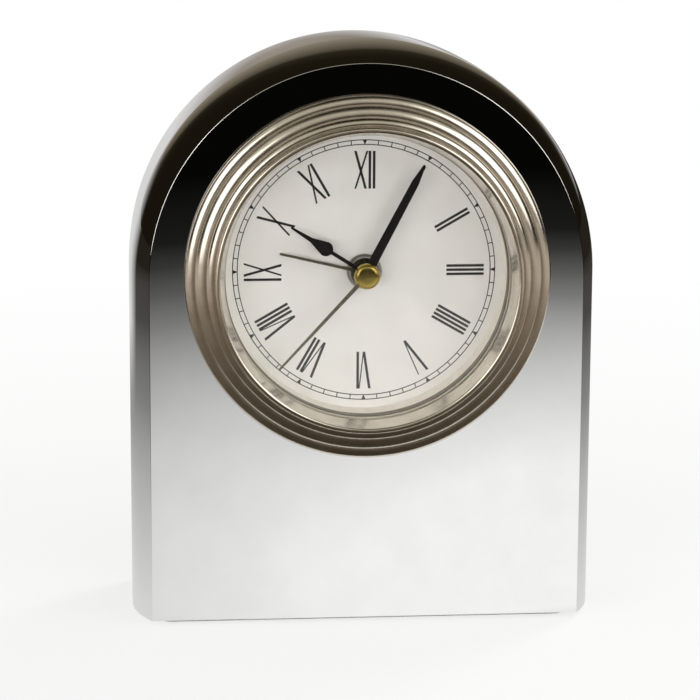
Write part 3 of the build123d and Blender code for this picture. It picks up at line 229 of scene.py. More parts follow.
def skin(loops):
    """Closed skin through closed loops of equal length, the last joined to the first."""
    count = len(loops[0])
    vertices = [point for loop in loops for point in loop]
    faces = []
    for row in range(len(loops)):
        here = row * count
        there = (row + 1) % len(loops) * count
        for j in range(count):
            k = (j + 1) % count
            faces.append((here + j, here + k, there + k, there + j))
    return vertices, faces


def lathe(profile, steps=TURN_STEPS, across=0.0, up=0.0):
    """Form turned about an axis parallel to the dial's, from points of radius and depth."""
    vertices, rings = [], []
    for radius, depth in profile:
        count = steps if radius > 0 else 1
        rings.append(range(len(vertices), len(vertices) + count))
        for j in range(count):
            turn = 2 * math.pi * j / steps
            vertices.append((
                across + radius * math.sin(turn),
                FACE_Y + depth,
                DIAL_Z + up + radius * math.cos(turn),
            ))
    pairs = list(zip(rings, rings[1:]))
    if len(rings[0]) > 1:
        pairs.append((rings[-1], rings[0]))
    faces = []
    for here, there in pairs:
        for j in range(steps):
            k = (j + 1) % steps
            first = (here[j % len(here)], here[k % len(here)])
            second = (there[k % len(there)], there[j % len(there)])
            face = tuple(dict.fromkeys(first + second))
            if len(face) > 2:
                faces.append(face)
    return vertices, faces


def sweep(centre, radius, first, last, count):
    """Points round a circle from one angle to another, in degrees, both ends included."""
    points = []
    for i in range(count + 1):
        turn = math.radians(first + (last - first) * i / count)
        points.append((centre[0] + radius * math.cos(turn), centre[1] + radius * math.sin(turn)))
    return points


def bow(start, end, rise, count):
    """Points after the start of an arc that stands off its chord, to the left of its way."""
    chord = Vector(end) - Vector(start)
    half = chord.length / 2
    radius = (half**2 + rise**2) / (2 * rise)
    left = Vector((-chord.y, chord.x)).normalized()
    centre = (Vector(start) + Vector(end)) / 2 + left * (rise - radius)
    arm = Vector(start) - centre
    first = math.degrees(math.atan2(arm.y, arm.x))
    turn = 2 * math.degrees(math.asin(min(1.0, half / radius)))
    return sweep(centre, radius, first, first - turn, count)[1:]


def dial_point(across, up, depth):
    """Place in the dial's plane, measured from its centre, at a depth."""
    return (across, FACE_Y + depth, DIAL_Z + up)


def prism(outline, depth, thickness):
    """Flat shape in the dial's plane, given by its corners, from a depth forwards."""
    count = len(outline)
    vertices = [dial_point(x, z, depth) for x, z in outline]
    vertices += [dial_point(x, z, depth - thickness) for x, z in outline]
    faces = [tuple(range(count)), tuple(range(2 * count - 1, count - 1, -1))]
    for j in range(count):
        k = (j + 1) % count
        faces.append((j, k, count + k, count + j))
    return vertices, faces


# Finishes
EVEN = (1, 1, 1)
BRUSHED = (1, 1, 14)
NOISE_DETAIL = 4.0
MOTTLE_SPAN = (0.3, 0.7)
GRAIN_SCALE = 4000.0
GRAIN_BUMP = (0.1, 0.02 * MM)


def srgb(red, green, blue):
    """Linear colour from the 0 to 255 values of a picture."""
    linear = []
    for value in (red, green, blue):
        share = value / 255
        linear.append(((share + 0.055) / 1.055) ** 2.4 if value > 10 else share / 12.92)
    return (*linear, 1.0)


def noise(tree, scale, stretch):
    """Noise over a piece's own coordinates, with a scale in features per metre."""
    place = tree.nodes.new("ShaderNodeTexCoord")
    mapping = tree.nodes.new("ShaderNodeMapping")
    mapping.inputs["Scale"].default_value = stretch
    texture = tree.nodes.new("ShaderNodeTexNoise")
    texture.inputs["Scale"].default_value = scale
    texture.inputs["Detail"].default_value = NOISE_DETAIL
    tree.links.new(place.outputs["Object"], mapping.inputs["Vector"])
    tree.links.new(mapping.outputs["Vector"], texture.inputs["Vector"])
    return texture.outputs["Fac"]


def ramp_of(tree, value, stops):
    """Colour ramp over a 0 to 1 value."""
    node = tree.nodes.new("ShaderNodeValToRGB")
    elements = node.color_ramp.elements
    while len(elements) < len(stops):
        elements.new(1.0)
    for element, (place, colour) in zip(elements, stops):
        element.position = place
        element.color = colour
    tree.links.new(value, node.inputs["Fac"])
    return node.outputs["Color"]


def ranged(tree, value, low, high, span=MOTTLE_SPAN):
    """Number from low to high as a value crosses a span."""
    node = tree.nodes.new("ShaderNodeMapRange")
    for name, number in zip(("From Min", "From Max", "To Min", "To Max"), (*span, low, high)):
        node.inputs[name].default_value = number
    tree.links.new(value, node.inputs["Value"])
    return node.outputs["Result"]


def make_finish(name, colours, roughness, metallic, scale, stretch=EVEN, bump=GRAIN_BUMP, **sockets):
    """Finish with mottled colour, uneven roughness and a fine grain."""
    finish = bpy.data.materials.new(name)
    finish.use_nodes = True
    tree = finish.node_tree
    shader = tree.nodes["Principled BSDF"]
    mottle = noise(tree, scale, stretch)
    tones = ramp_of(tree, mottle, list(zip(MOTTLE_SPAN, colours)))
    tree.links.new(tones, shader.inputs["Base Color"])
    tree.links.new(ranged(tree, mottle, *roughness), shader.inputs["Roughness"])
    shader.inputs["Metallic"].default_value = metallic
    for socket, number in sockets.items():
        shader.inputs[socket.replace("_", " ")].default_value = number
    if bump:
        relief = tree.nodes.new("ShaderNodeBump")
        relief.inputs["Strength"].default_value = bump[0]
        relief.inputs["Distance"].default_value = bump[1]
        tree.links.new(noise(tree, GRAIN_SCALE, stretch), relief.inputs["Height"])
        tree.links.new(relief.outputs["Normal"], shader.inputs["Normal"])
    return finish


FINISHES = {
    "polished_case": make_finish(
        "polished_nickel", (srgb(239, 239, 238), srgb(244, 244, 243)), (0.004, 0.014), 1.0, 120.0,
        bump=None),
    "bezel_metal": make_finish(
        "warm_nickel", (srgb(216, 208, 195), srgb(226, 219, 207)), (0.17, 0.23), 1.0, 300.0,
        bump=(0.02, 0.01 * MM)),
    "rear_plate": make_finish(
        "black_back", (srgb(24, 24, 25), srgb(34, 34, 36)), (0.42, 0.6), 0.0, 700.0,
        bump=(0.35, 0.05 * MM)),
    "steel_screw": make_finish(
        "zinc_steel", (srgb(168, 166, 160), srgb(196, 195, 192)), (0.22, 0.38), 1.0, 1500.0),
    "felt": make_finish(
        "green_felt", (srgb(20, 46, 32), srgb(38, 70, 50)), (0.9, 1.0), 0.0, 2500.0,
        bump=(0.9, 0.25 * MM),
        Sheen_Weight=0.6, Sheen_Roughness=0.6),
    "lens_glass": make_finish(
        "clear_glass", (srgb(250, 252, 250), srgb(255, 255, 255)), (0.0, 0.015), 0.0, 90.0,
        bump=None,
        Transmission_Weight=1.0, IOR=1.5),
    "black_rubber": make_finish(
        "black_rubber", (srgb(26, 24, 22), srgb(38, 35, 31)), (0.6, 0.8), 0.0, 1800.0),
    "reflector": make_finish(
        "cream_ring", (srgb(226, 219, 205), srgb(238, 232, 220)), (0.3, 0.45), 0.0, 600.0),
    "dial_enamel": make_finish(
        "dial_ground", (srgb(236, 233, 230), srgb(241, 238, 236)), (0.5, 0.65), 0.0, 250.0,
        bump=(0.06, 0.01 * MM)),
    "cup_plastic": make_finish(
        "moulded_black", (srgb(30, 30, 31), srgb(42, 42, 44)), (0.45, 0.62), 0.0, 1400.0,
        bump=(0.3, 0.03 * MM)),
    "movement_plastic": make_finish(
        "movement_grey", (srgb(192, 195, 198), srgb(206, 208, 210)), (0.4, 0.55), 0.0, 900.0),
    "nut_metal": make_finish(
        "turned_nut", (srgb(178, 172, 164), srgb(204, 199, 190)), (0.4, 0.55), 1.0, 1600.0,
        stretch=BRUSHED),
    "wheel_plastic": make_finish(
        "natural_acetal", (srgb(228, 224, 208), srgb(240, 237, 226)), (0.3, 0.42), 0.0, 1200.0,
        Subsurface_Weight=0.2, Subsurface_Scale=0.5 * MM),
    "brass": make_finish(
        "lacquered_brass", (srgb(172, 149, 70), srgb(186, 163, 84)), (0.2, 0.26), 1.0, 500.0,
        bump=(0.02, 0.005 * MM)),
    "hand_black": make_finish(
        "black_lacquer", (srgb(10, 8, 7), srgb(18, 15, 13)), (0.45, 0.6), 0.0, 1500.0,
        Specular_IOR_Level=0.25),
    "hand_bronze": make_finish(
        "dark_gilt", (srgb(128, 118, 98), srgb(150, 140, 118)), (0.22, 0.36), 1.0, 1800.0,
        stretch=BRUSHED),
    "magnet": make_finish(
        "sintered_magnet", (srgb(72, 72, 74), srgb(98, 98, 100)), (0.5, 0.7), 0.6, 2600.0),
    "cell_steel": make_finish(
        "plated_can", (srgb(206, 206, 205), srgb(222, 222, 221)), (0.12, 0.26), 1.0, 800.0,
        stretch=BRUSHED),
    "board": make_finish(
        "green_resist", (srgb(22, 84, 48), srgb(34, 104, 62)), (0.3, 0.45), 0.0, 700.0),
    "chip_resin": make_finish(
        "black_resin", (srgb(20, 20, 21), srgb(32, 32, 33)), (0.25, 0.5), 0.0, 1300.0),
    "crystal_can": make_finish(
        "drawn_can", (srgb(208, 208, 210), srgb(224, 224, 226)), (0.15, 0.3), 1.0, 1200.0,
        stretch=BRUSHED),
    "core_iron": make_finish(
        "soft_iron", (srgb(166, 166, 168), srgb(188, 188, 190)), (0.3, 0.48), 1.0, 1100.0,
        stretch=BRUSHED),
    "copper": make_finish(
        "enamelled_wire", (srgb(186, 110, 62), srgb(206, 130, 78)), (0.25, 0.4), 0.8, 3000.0,
        stretch=(30, 1, 1),
        bump=(0.6, 0.05 * MM)),
    "knob_plastic": make_finish(
        "knob_black", (srgb(26, 26, 27), srgb(38, 38, 39)), (0.35, 0.5), 0.0, 1500.0,
        bump=(0.2, 0.02 * MM)),
    "switch_plastic": make_finish(
        "switch_ivory", (srgb(222, 219, 208), srgb(234, 232, 224)), (0.38, 0.5), 0.0, 1200.0),
}
INK_FINISH = make_finish(
    "printed_black", (srgb(26, 23, 21), srgb(40, 36, 33)), (0.45, 0.6), 0.0, 2500.0, bump=(0.1, 0.005 * MM))
SEAL_FINISH = make_finish(
    "pale_rubber", (srgb(196, 188, 170), srgb(210, 203, 187)), (0.5, 0.7), 0.0, 1800.0)
# Dark brown of painted shade, for the thin ring on the reflector ring
PAINTED_SHADE_FINISH = make_finish(
    "painted_shade_brown", (srgb(98, 91, 76), srgb(116, 109, 93)), (0.5, 0.7), 0.0, 1800.0)


# Case


def shoulder_radius(wall):
    """Radius of the shoulder's section, outside or inside the wall."""
    return (FACE_INSET**2 + SHOULDER_DEPTH**2) / (2 * FACE_INSET) - wall


def arch_loop(inset, depth, low):
    """Outline of the case at a depth, inset from its widest outline and closed along a level."""
    half = HALF_WIDTH - inset
    flat = [(-half, low + (ARCH_Z - low) * i / SIDE_STEPS) for i in range(SIDE_STEPS)]
    arch = [(x, ARCH_Z + z) for x, z in sweep((0, 0), half, 180.0, 0.0, ARCH_STEPS)]
    fall = [(half, ARCH_Z - (ARCH_Z - low) * i / SIDE_STEPS) for i in range(1, SIDE_STEPS + 1)]
    foot = [(half - 2 * half * i / FOOT_STEPS, low) for i in range(1, FOOT_STEPS)]
    return [(x, FACE_Y + depth, z) for x, z in flat + arch + fall + foot]


def bore_loop(radius, depth):
    """Circle round the insert's axis with a point facing each point of the case's outline."""
    points = []
    for x, _, z in arch_loop(FACE_INSET, 0.0, BASE_Z):
        turn = math.atan2(z - DIAL_Z, x)
        points.append(dial_point(radius * math.cos(turn), radius * math.sin(turn), depth))
    return points


def outer_section():
    """Inset and depth along the skin, from the face's edge over the shoulder to the rounded heel.

    Behind the shoulder the sides draw in a little.
    """
    radius = shoulder_radius(0)
    reach = radius - FACE_EDGE_RADIUS
    drop = SHOULDER_DEPTH - FACE_EDGE_RADIUS
    edge_centre = (radius - math.sqrt(reach**2 - drop**2), FACE_EDGE_RADIUS)
    meeting = math.degrees(math.atan2(-drop, edge_centre[0] - radius))
    edge = sweep(edge_centre, FACE_EDGE_RADIUS, -90.0, meeting, EDGE_STEPS)
    shoulder = sweep((radius, SHOULDER_DEPTH), radius, meeting, -180.0, SHOULDER_STEPS)
    heel_start = CASE_DEPTH - HEEL_RADIUS
    length = heel_start - SHOULDER_DEPTH
    back = [
        (SIDE_DRAW * (i / BACK_STEPS) ** 2, SHOULDER_DEPTH + length * i / BACK_STEPS)
        for i in range(1, BACK_STEPS)]
    heel = sweep((SIDE_DRAW + HEEL_RADIUS, heel_start), HEEL_RADIUS, 180.0, 90.0, HEEL_STEPS)
    return edge + shoulder[1:] + back + heel


def inner_section():
    """Inset and depth along the hollow, from the rebate for the rear plate to the front wall."""
    radius = shoulder_radius(WALL)
    front = math.degrees(math.asin((WALL - SHOULDER_DEPTH) / radius))
    centre = (radius + WALL, SHOULDER_DEPTH)
    return [(WALL, PLATE_FRONT)] + sweep(centre, radius, 180.0, 180.0 - front, HOLLOW_STEPS)


def boss_shapes():
    """Screw pillars before the rear plate, one round each of its screws."""
    front = PLATE_FRONT - BOSS_LENGTH
    profile = [
        (BOSS_RADIUS, front), (BOSS_RADIUS, PLATE_FRONT),
        (BOSS_HOLE_RADIUS, PLATE_FRONT), (BOSS_HOLE_RADIUS, front)]
    reach = HALF_WIDTH - WALL - BOSS_INSET
    high = Vector((math.cos(UPPER_BOSS_TURN), math.sin(UPPER_BOSS_TURN))) * reach
    places = [(reach, BASE_Z + LOWER_BOSS_HEIGHT), (high.x, ARCH_Z + high.y)]
    return [lathe(profile, BOSS_STEPS, side * x, z - DIAL_Z) for x, z in places for side in (-1, 1)]


def make_case():
    loops = [arch_loop(inset, depth, BASE_Z) for inset, depth in outer_section()]
    loops.append(arch_loop(RIM, CASE_DEPTH, BASE_Z + RIM))
    loops.append(arch_loop(RIM, PLATE_FRONT, BASE_Z + RIM))
    loops += [arch_loop(inset, depth, BASE_Z + FLOOR_THICKNESS) for inset, depth in inner_section()]
    loops.append(bore_loop(BORE_RADIUS + COLLAR_WALL, WALL))
    loops.append(bore_loop(BORE_RADIUS + COLLAR_WALL, COLLAR_DEPTH))
    loops.append(bore_loop(BORE_RADIUS, COLLAR_DEPTH))
    loops.append(bore_loop(BORE_RADIUS, 0.0))
    shape = joined([skin(loops)] + boss_shapes())
    add_piece(
        "polished_arch_case", shape, FINISHES["polished_case"], replaces=["case_shell"])


# Insert


def make_bezel():
    lens_front = LENS_BACK + LENS_THICKNESS
    climb = (LIP_FOOT - BEZEL_FOOT) / sum(BEAD_WIDTHS)
    profile = [(BEZEL_RADIUS, 0.0), (BEZEL_RADIUS, -BEZEL_FOOT)]
    for width in BEAD_WIDTHS:
        radius, depth = profile[-1]
        profile += bow((radius, depth), (radius - width, depth - climb * width), BEAD_BULGE, BEAD_STEPS)
    lip_outer = profile[-1][0]
    lip_depth = LIP_WIDTH / 2 - BEZEL_PROUD
    profile.append((lip_outer, lip_depth))
    profile += bow((lip_outer, lip_depth), (lip_outer - LIP_WIDTH, lip_depth), LIP_WIDTH / 2, LIP_STEPS)
    profile += [
        (LENS_RADIUS - LENS_OVERLAP, -lens_front),
        (LENS_RADIUS + LENS_SEAT, -lens_front),
        (LENS_RADIUS + LENS_SEAT, CUP_FRONT),
        (CUP_RADIUS + FIT, CUP_FRONT),
        (CUP_RADIUS + FIT, SKIRT_DEPTH),
        (BORE_RADIUS - FIT, SKIRT_DEPTH),
        (BORE_RADIUS - FIT, 0.0),
    ]
    return add_piece(
        "beaded_bezel", lathe(profile), FINISHES["bezel_metal"], replaces=["bezel"])


def make_lens():
    """Domed glass of even thickness. It lets the lamps through to the dial."""
    dome = LENS_RADIUS - LENS_RIM
    sphere = (dome**2 + LENS_CROWN**2) / (2 * LENS_CROWN)
    swell = [dome * i / DOME_STEPS for i in range(DOME_STEPS + 1)]
    crown = [math.sqrt(sphere**2 - r**2) - sphere + LENS_CROWN for r in swell]
    back = [(r, -LENS_BACK - rise) for r, rise in zip(swell, crown)]
    front = [(r, -LENS_BACK - LENS_THICKNESS - rise) for r, rise in zip(swell, crown)]
    rim = [(LENS_RADIUS, -LENS_BACK), (LENS_RADIUS, -LENS_BACK - LENS_THICKNESS)]
    shape = lathe(back + rim + front[::-1])
    lens = add_piece("domed_glass", shape, FINISHES["lens_glass"], replaces=["lens"])
    lens.visible_shadow = False


def make_painted_shade_ring():
    """Painted shade: a thin dark ring on the reflector ring, standing in for the shade at the foot of the
    bezel's inner wall.
    """
    outer = LENS_RADIUS - LENS_OVERLAP
    inner = LENS_RADIUS - LENS_RIM - SHADE_RING_RISE
    back = SHADE_RING_DEPTH + SHADE_RING_WIDTH
    profile = [(outer, SHADE_RING_DEPTH), (outer, back), (inner, back), (inner, SHADE_RING_DEPTH)]
    add_piece("reflector_painted_shade", lathe(profile), PAINTED_SHADE_FINISH)


def make_cap():
    """Turned brass button over the hands, softly domed with a full round edge."""
    flat = CAP_RADIUS - CAP_EDGE
    profile = []
    for i in range(CAP_DOME_STEPS + 1):
        profile.append((flat * i / CAP_DOME_STEPS, CAP_FRONT + CAP_DOME * (i / CAP_DOME_STEPS) ** 2))
    corner = (flat, CAP_FRONT + CAP_DOME + CAP_EDGE)
    profile += sweep(corner, CAP_EDGE, -90.0, 0.0, CAP_EDGE_STEPS)[1:]
    profile += [(CAP_RADIUS, CAP_BACK), (0.0, CAP_BACK)]
    shape = lathe(profile, CAP_TURN_STEPS)
    add_piece("brass_cap", shape, FINISHES["brass"], "seconds", ["second_hand_cap"])


def hour_outline(inset):
    """Pear-shaped hand pointing to twelve: a thin stem, a swelling and a long fine point."""
    (pear, pear_radius), (neck, neck_radius), (tip, tip_radius) = HOUR_PEAR, HOUR_NECK, HOUR_TIP
    half = HOUR_STEM / 2 - inset
    swell = pear_radius - inset
    first = math.degrees(math.asin((pear_radius - neck_radius) / (neck - pear)))
    second = math.degrees(math.asin((neck_radius - tip_radius) / (tip - neck)))
    side = [(half, HOUR_ROOT)]
    start = -math.degrees(math.acos(half / swell))
    side += sweep((0.0, pear), swell, start, first, HOUR_PEAR_STEPS)
    side.append((neck_radius - inset, neck))
    side += sweep((0.0, tip), tip_radius - inset, second, HOUR_TIP_END, HOUR_TIP_STEPS)
    return side + [(-x, z) for x, z in reversed(side)]


def make_hour_hand():
    """Stamped hand with softened front edges, on a boss pressed on its pipe."""
    levels = [
        (HOUR_BEVEL, HOUR_FRONT), (0.0, HOUR_FRONT + HOUR_BEVEL), (0.0, HOUR_FRONT + HOUR_BLADE)]
    loops = []
    for inset, depth in levels:
        outline = turned_outline(hour_outline(inset), HOUR_TURN / HOUR_ANGLE)
        loops.append([dial_point(x, z, depth) for x, z in outline])
    vertices, faces = skin(loops)
    count = len(loops[0])
    faces = faces[: -count] + [tuple(range(count)), tuple(range(2 * count, 3 * count))]
    boss_front = HOUR_FRONT + HOUR_BEVEL
    boss = [
        (HOUR_BOSS_RADIUS, boss_front), (HOUR_BOSS_RADIUS, HOUR_BACK),
        (HOUR_HOLE_RADIUS, HOUR_BACK), (HOUR_HOLE_RADIUS, boss_front)]
    shape = joined([(vertices, faces), lathe(boss, HOUR_BOSS_STEPS)])
    add_piece("pear_hour_hand", shape, FINISHES["hand_black"], "hours", ["hour_hand"])


def make_felt():
    """Felt under the foot, with rounded corners and a softened edge."""
    soft = FELT_SOFT_EDGE
    middle = (felt_low + felt_high) / 2
    reach = (felt_high - felt_low) / 2

    def outline(inset, z):
        points = []
        for first, side_x, side_y in ((0, 1, 1), (90, -1, 1), (180, -1, -1), (270, 1, -1)):
            across = middle.x + side_x * (reach.x - FELT_CORNER)
            along = middle.y + side_y * (reach.y - FELT_CORNER)
            points += sweep((across, along), FELT_CORNER - inset, first, first + 90, FELT_CORNER_STEPS)
        return [(x, y, z) for x, y in points]

    levels = [
        (soft, felt_low.z), (0.0, felt_low.z + soft), (0.0, felt_high.z - soft), (soft, felt_high.z)]
    loops = [outline(inset, z) for inset, z in levels]
    vertices, faces = skin(loops)
    count = len(loops[0])
    faces = faces[: -count] + [tuple(range(count)), tuple(range(3 * count, 4 * count))]
    felt = add_piece(
        "felt_pad", (vertices, faces), FINISHES["felt"], replaces=["base_felt"],
        crease=FELT_CREASE)


# Dial print


def turned_outline(outline, hour):
    """Turns a shape drawn upright at twelve o'clock to an hour's place."""
    turn = math.radians(-HOUR_ANGLE * hour)
    cos, sin = math.cos(turn), math.sin(turn)
    return [(x * cos - z * sin, x * sin + z * cos) for x, z in outline]


def stroke(head, foot, width):
    """Slanted stroke with level ends, from a place across at the numeral's head to one at its foot."""
    half = width / 2
    return [
        (foot - half, NUMERAL_FOOT),
        (foot + half, NUMERAL_FOOT),
        (head + half, NUMERAL_HEAD),
        (head - half, NUMERAL_HEAD),
    ]


def numeral_strokes(text):
    """Strokes of a Roman numeral drawn upright and centred, with its feet towards the dial's centre."""
    strokes, across = [], 0.0
    for sign in text:
        if sign == "I":
            strokes.append((across, across, THICK_STROKE))
            across += BAR_PITCH
        elif sign == "V":
            strokes.append((across, across + V_WIDTH * V_THICK_FOOT, THICK_STROKE))
            strokes.append((across + V_WIDTH, across + V_WIDTH * V_HAIR_FOOT, HAIR_STROKE))
            across += V_WIDTH + THICK_STROKE * V_GAP
        else:
            strokes.append((across, across + X_WIDTH * X_THICK_FOOT, THICK_STROKE))
            strokes.append((across + X_WIDTH, across, THIN_STROKE))
            across += X_WIDTH + THICK_STROKE
    ends = [end for head, foot, _ in strokes for end in (head, foot)]
    shift = (min(ends) + max(ends)) / 2
    return [stroke(head - shift, foot - shift, width) for head, foot, width in strokes]


def printed(outline, hour):
    """Flat print on the dial at an hour's place."""
    return prism(turned_outline(outline, hour), DIAL_DEPTH, INK)


def track_ring(radius):
    """Thin printed circle round the minute track."""
    half = TRACK_LINE / 2
    profile = [
        (radius - half, DIAL_DEPTH), (radius - half, DIAL_DEPTH - INK),
        (radius + half, DIAL_DEPTH - INK), (radius + half, DIAL_DEPTH)]
    return lathe(profile)


def make_dial_print():
    numerals = []
    for hour, text in enumerate(NUMERALS):
        numerals += [printed(outline, hour) for outline in numeral_strokes(text)]
    add_piece("hour_numerals", joined(numerals), INK_FINISH)
    half = TRACK_LINE / 2
    tick = [(-half, TRACK_INNER), (half, TRACK_INNER), (half, TRACK_OUTER), (-half, TRACK_OUTER)]
    ticks = [printed(tick, minute / 5) for minute in range(60) if minute % 5]
    rings = [track_ring(TRACK_OUTER), track_ring(TRACK_INNER)]
    add_piece("minute_track", joined(rings + ticks), INK_FINISH)
    base = MARKER_WIDTH / 2
    marker = [
        (-base, TRACK_OUTER), (-half / 2, TRACK_INNER), (half / 2, TRACK_INNER), (base, TRACK_OUTER)]
    markers = [printed(marker, hour) for hour in range(len(NUMERALS))]
    add_piece("five_minute_markers", joined(markers), INK_FINISH)


# Finishes of the CAD nodes


def dress_nodes():
    slots = {part["node"]: part["material_slot"] for part in frame["record"]["subparts"]}
    for name, node in frame["nodes"].items():
        node.data.materials.clear()
        node.data.materials.append(SEAL_FINISH if name == "lens_gasket" else FINISHES[slots[name]])


# Studio


def stage_material(name, nodes_of):
    material = bpy.data.materials.new(name)
    material.use_nodes = True
    tree = material.node_tree
    tree.nodes.clear()
    output = tree.nodes.new("ShaderNodeOutputMaterial")
    tree.links.new(nodes_of(tree), output.inputs["Surface"])
    return material


def glow(tree, kind, colour, strength=1.0):
    """Glow of a surface or of the world, in one colour or in a linked one."""
    node = tree.nodes.new(kind)
    node.inputs["Strength"].default_value = strength
    if isinstance(colour, tuple):
        node.inputs["Color"].default_value = colour
    else:
        tree.links.new(colour, node.inputs["Color"])
    return node.outputs[0]


def mix(tree, share, first, second):
    """The second shader laid over the first by a linked share."""
    node = tree.nodes.new("ShaderNodeMixShader")
    tree.links.new(share, node.inputs["Fac"])
    tree.links.new(first, node.inputs[1])
    tree.links.new(second, node.inputs[2])
    return node.outputs["Shader"]


SURFACE = "ShaderNodeEmission"
WORLD = "ShaderNodeBackground"
WHITE = (1.0, 1.0, 1.0, 1.0)
FOOT = (0.0, FACE_Y, 0.0)
FLOOR_HALF_SIZE = 6.0
FLOOR_TONE = srgb(243, 243, 243)
TABLE_CENTRE = (0.08, FACE_Y, 0.0)
TABLE_SHAPE = (1.5, 1.0, 1.0)
TABLE_REACH = 0.64
TABLE_TONES = (
    (0.10, srgb(255, 255, 255)),
    (0.20, srgb(252, 252, 252)),
    (0.30, srgb(225, 225, 225)),
    (0.37, srgb(206, 206, 206)),
    (0.45, srgb(174, 174, 174)),
    (0.49, srgb(156, 156, 156)),
    (0.54, srgb(128, 128, 128)),
    (0.61, srgb(92, 92, 91)),
    (0.68, srgb(57, 57, 56)),
    (0.75, srgb(28, 28, 27)),
    (1.00, srgb(6, 6, 5)),
)
REAR_TONES = (
    (0.00, srgb(238, 238, 238)),
    (0.21, srgb(188, 188, 188)),
    (0.36, srgb(134, 134, 134)),
    (0.47, srgb(104, 103, 102)),
    (0.54, srgb(76, 74, 73)),
    (0.72, srgb(60, 56, 52)),
    (1.00, srgb(38, 34, 27)),
)
BACKDROP_WAY = (-0.2, 0.98, 0.0)
BACKDROP_SPREAD = (0.87, 0.985)
BACKDROP_REACH = (0.2, 0.33)
BACKDROP_SHARE = 0.68
REAR_SPAN = (-0.2, 0.1)
PALE_REACH = (0.12, 0.4)
PALE_SHARE = (0.7, 1.0)
# Painted shade on the floor before the clock, which only the bezel mirrors: dark brown at the foot, paler
# further out
MIRRORED_SHADE_SHAPE = (1.0, 0.3, 1.0)
MIRRORED_SHADE_TONES = (
    (0.00, srgb(62, 56, 46)),
    (0.06, srgb(74, 67, 56)),
    (0.20, srgb(118, 108, 96)),
    (0.60, srgb(196, 186, 174)),
)
MIRRORED_SHADE_LIFT = 0.2 * MM


def from_point(tree, point, operation, shape=(1.0, 1.0, 1.0)):
    """Length or direction, on the floor, of the way from a point, with its axes scaled."""
    place = tree.nodes.new("ShaderNodeNewGeometry")
    mapping = tree.nodes.new("ShaderNodeMapping")
    mapping.inputs["Scale"].default_value = shape
    mapping.inputs["Location"].default_value = [-p * k for p, k in zip(point, shape)]
    measure = tree.nodes.new("ShaderNodeVectorMath")
    measure.operation = operation
    tree.links.new(place.outputs["Position"], mapping.inputs["Vector"])
    tree.links.new(mapping.outputs["Vector"], measure.inputs[0])
    return measure.outputs["Value" if operation == "LENGTH" else "Vector"]


def lit_part(tree, point, tones, shape=(1.0, 1.0, 1.0)):
    """Floor that shades off with the distance from a point, as mirrors see it."""
    reach = ranged(tree, from_point(tree, point, "LENGTH", shape), 0.0, 1.0, (0.0, TABLE_REACH))
    return glow(tree, SURFACE, ramp_of(tree, reach, tones))


def floor_shader(tree):
    """Pale floor that fades into the white. Mirrors see it shade off, but for a backdrop behind."""
    path = tree.nodes.new("ShaderNodeLightPath")
    pale = tree.nodes.new("ShaderNodeBsdfDiffuse")
    pale.inputs["Color"].default_value = FLOOR_TONE
    white = glow(tree, SURFACE, WHITE)
    away = from_point(tree, FOOT, "LENGTH")
    seen = mix(tree, ranged(tree, away, *PALE_SHARE, PALE_REACH), pale.outputs["BSDF"], white)
    lit = mix(tree, path.outputs["Is Camera Ray"], pale.outputs["BSDF"], seen)
    way = from_point(tree, FOOT, "NORMALIZE")
    parts = tree.nodes.new("ShaderNodeSeparateXYZ")
    tree.links.new(way, parts.inputs["Vector"])
    front = lit_part(tree, TABLE_CENTRE, TABLE_TONES, TABLE_SHAPE)
    rear = lit_part(tree, FOOT, REAR_TONES)
    table = mix(tree, ranged(tree, parts.outputs["Y"], 0.0, 1.0, REAR_SPAN), front, rear)
    along = tree.nodes.new("ShaderNodeVectorMath")
    along.operation = "DOT_PRODUCT"
    along.inputs[1].default_value = BACKDROP_WAY
    tree.links.new(way, along.inputs[0])
    far = mix(tree, ranged(tree, away, 0.0, 1.0, BACKDROP_REACH), table, white)
    share = ranged(tree, along.outputs["Value"], 0.0, BACKDROP_SHARE, BACKDROP_SPREAD)
    mirrored = mix(tree, share, table, far)
    return mix(tree, path.outputs["Is Glossy Ray"], lit, mirrored)


BACK_ROOM = (
    (0.00, srgb(214, 212, 211)),
    (0.03, srgb(194, 190, 187)),
    (0.06, srgb(172, 165, 158)),
    (0.09, srgb(154, 145, 136)),
    (0.20, srgb(136, 127, 114)),
    (0.38, srgb(124, 116, 100)),
    (0.54, srgb(106, 98, 84)),
    (0.65, srgb(86, 79, 66)),
    (0.72, srgb(44, 39, 28)),
    (0.84, srgb(29, 25, 16)),
    (1.00, srgb(25, 21, 13)),
)
HORIZON = (
    (0.00, srgb(210, 208, 207)),
    (0.04, srgb(184, 180, 177)),
    (0.08, srgb(152, 145, 137)),
    (0.12, srgb(112, 105, 95)),
    (0.20, srgb(40, 36, 28)),
    (0.30, srgb(0, 0, 0)),
)
FRONT_ROOM = (
    (0.00, srgb(40, 32, 20)),
    (0.25, srgb(66, 58, 44)),
    (0.50, srgb(176, 171, 158)),
    (0.80, srgb(198, 194, 180)),
    (0.95, srgb(70, 66, 54)),
    (1.00, srgb(28, 25, 17)),
)
ROOM_SQUASH = (1.45, 0.0, 1.0)
BEHIND_SPAN = (-0.25, 0.1)
HORIZON_SPAN = (0.8, 0.97)
FILL = 0.55
FILL_TINT = (1.0, 0.99, 0.98, 1.0)


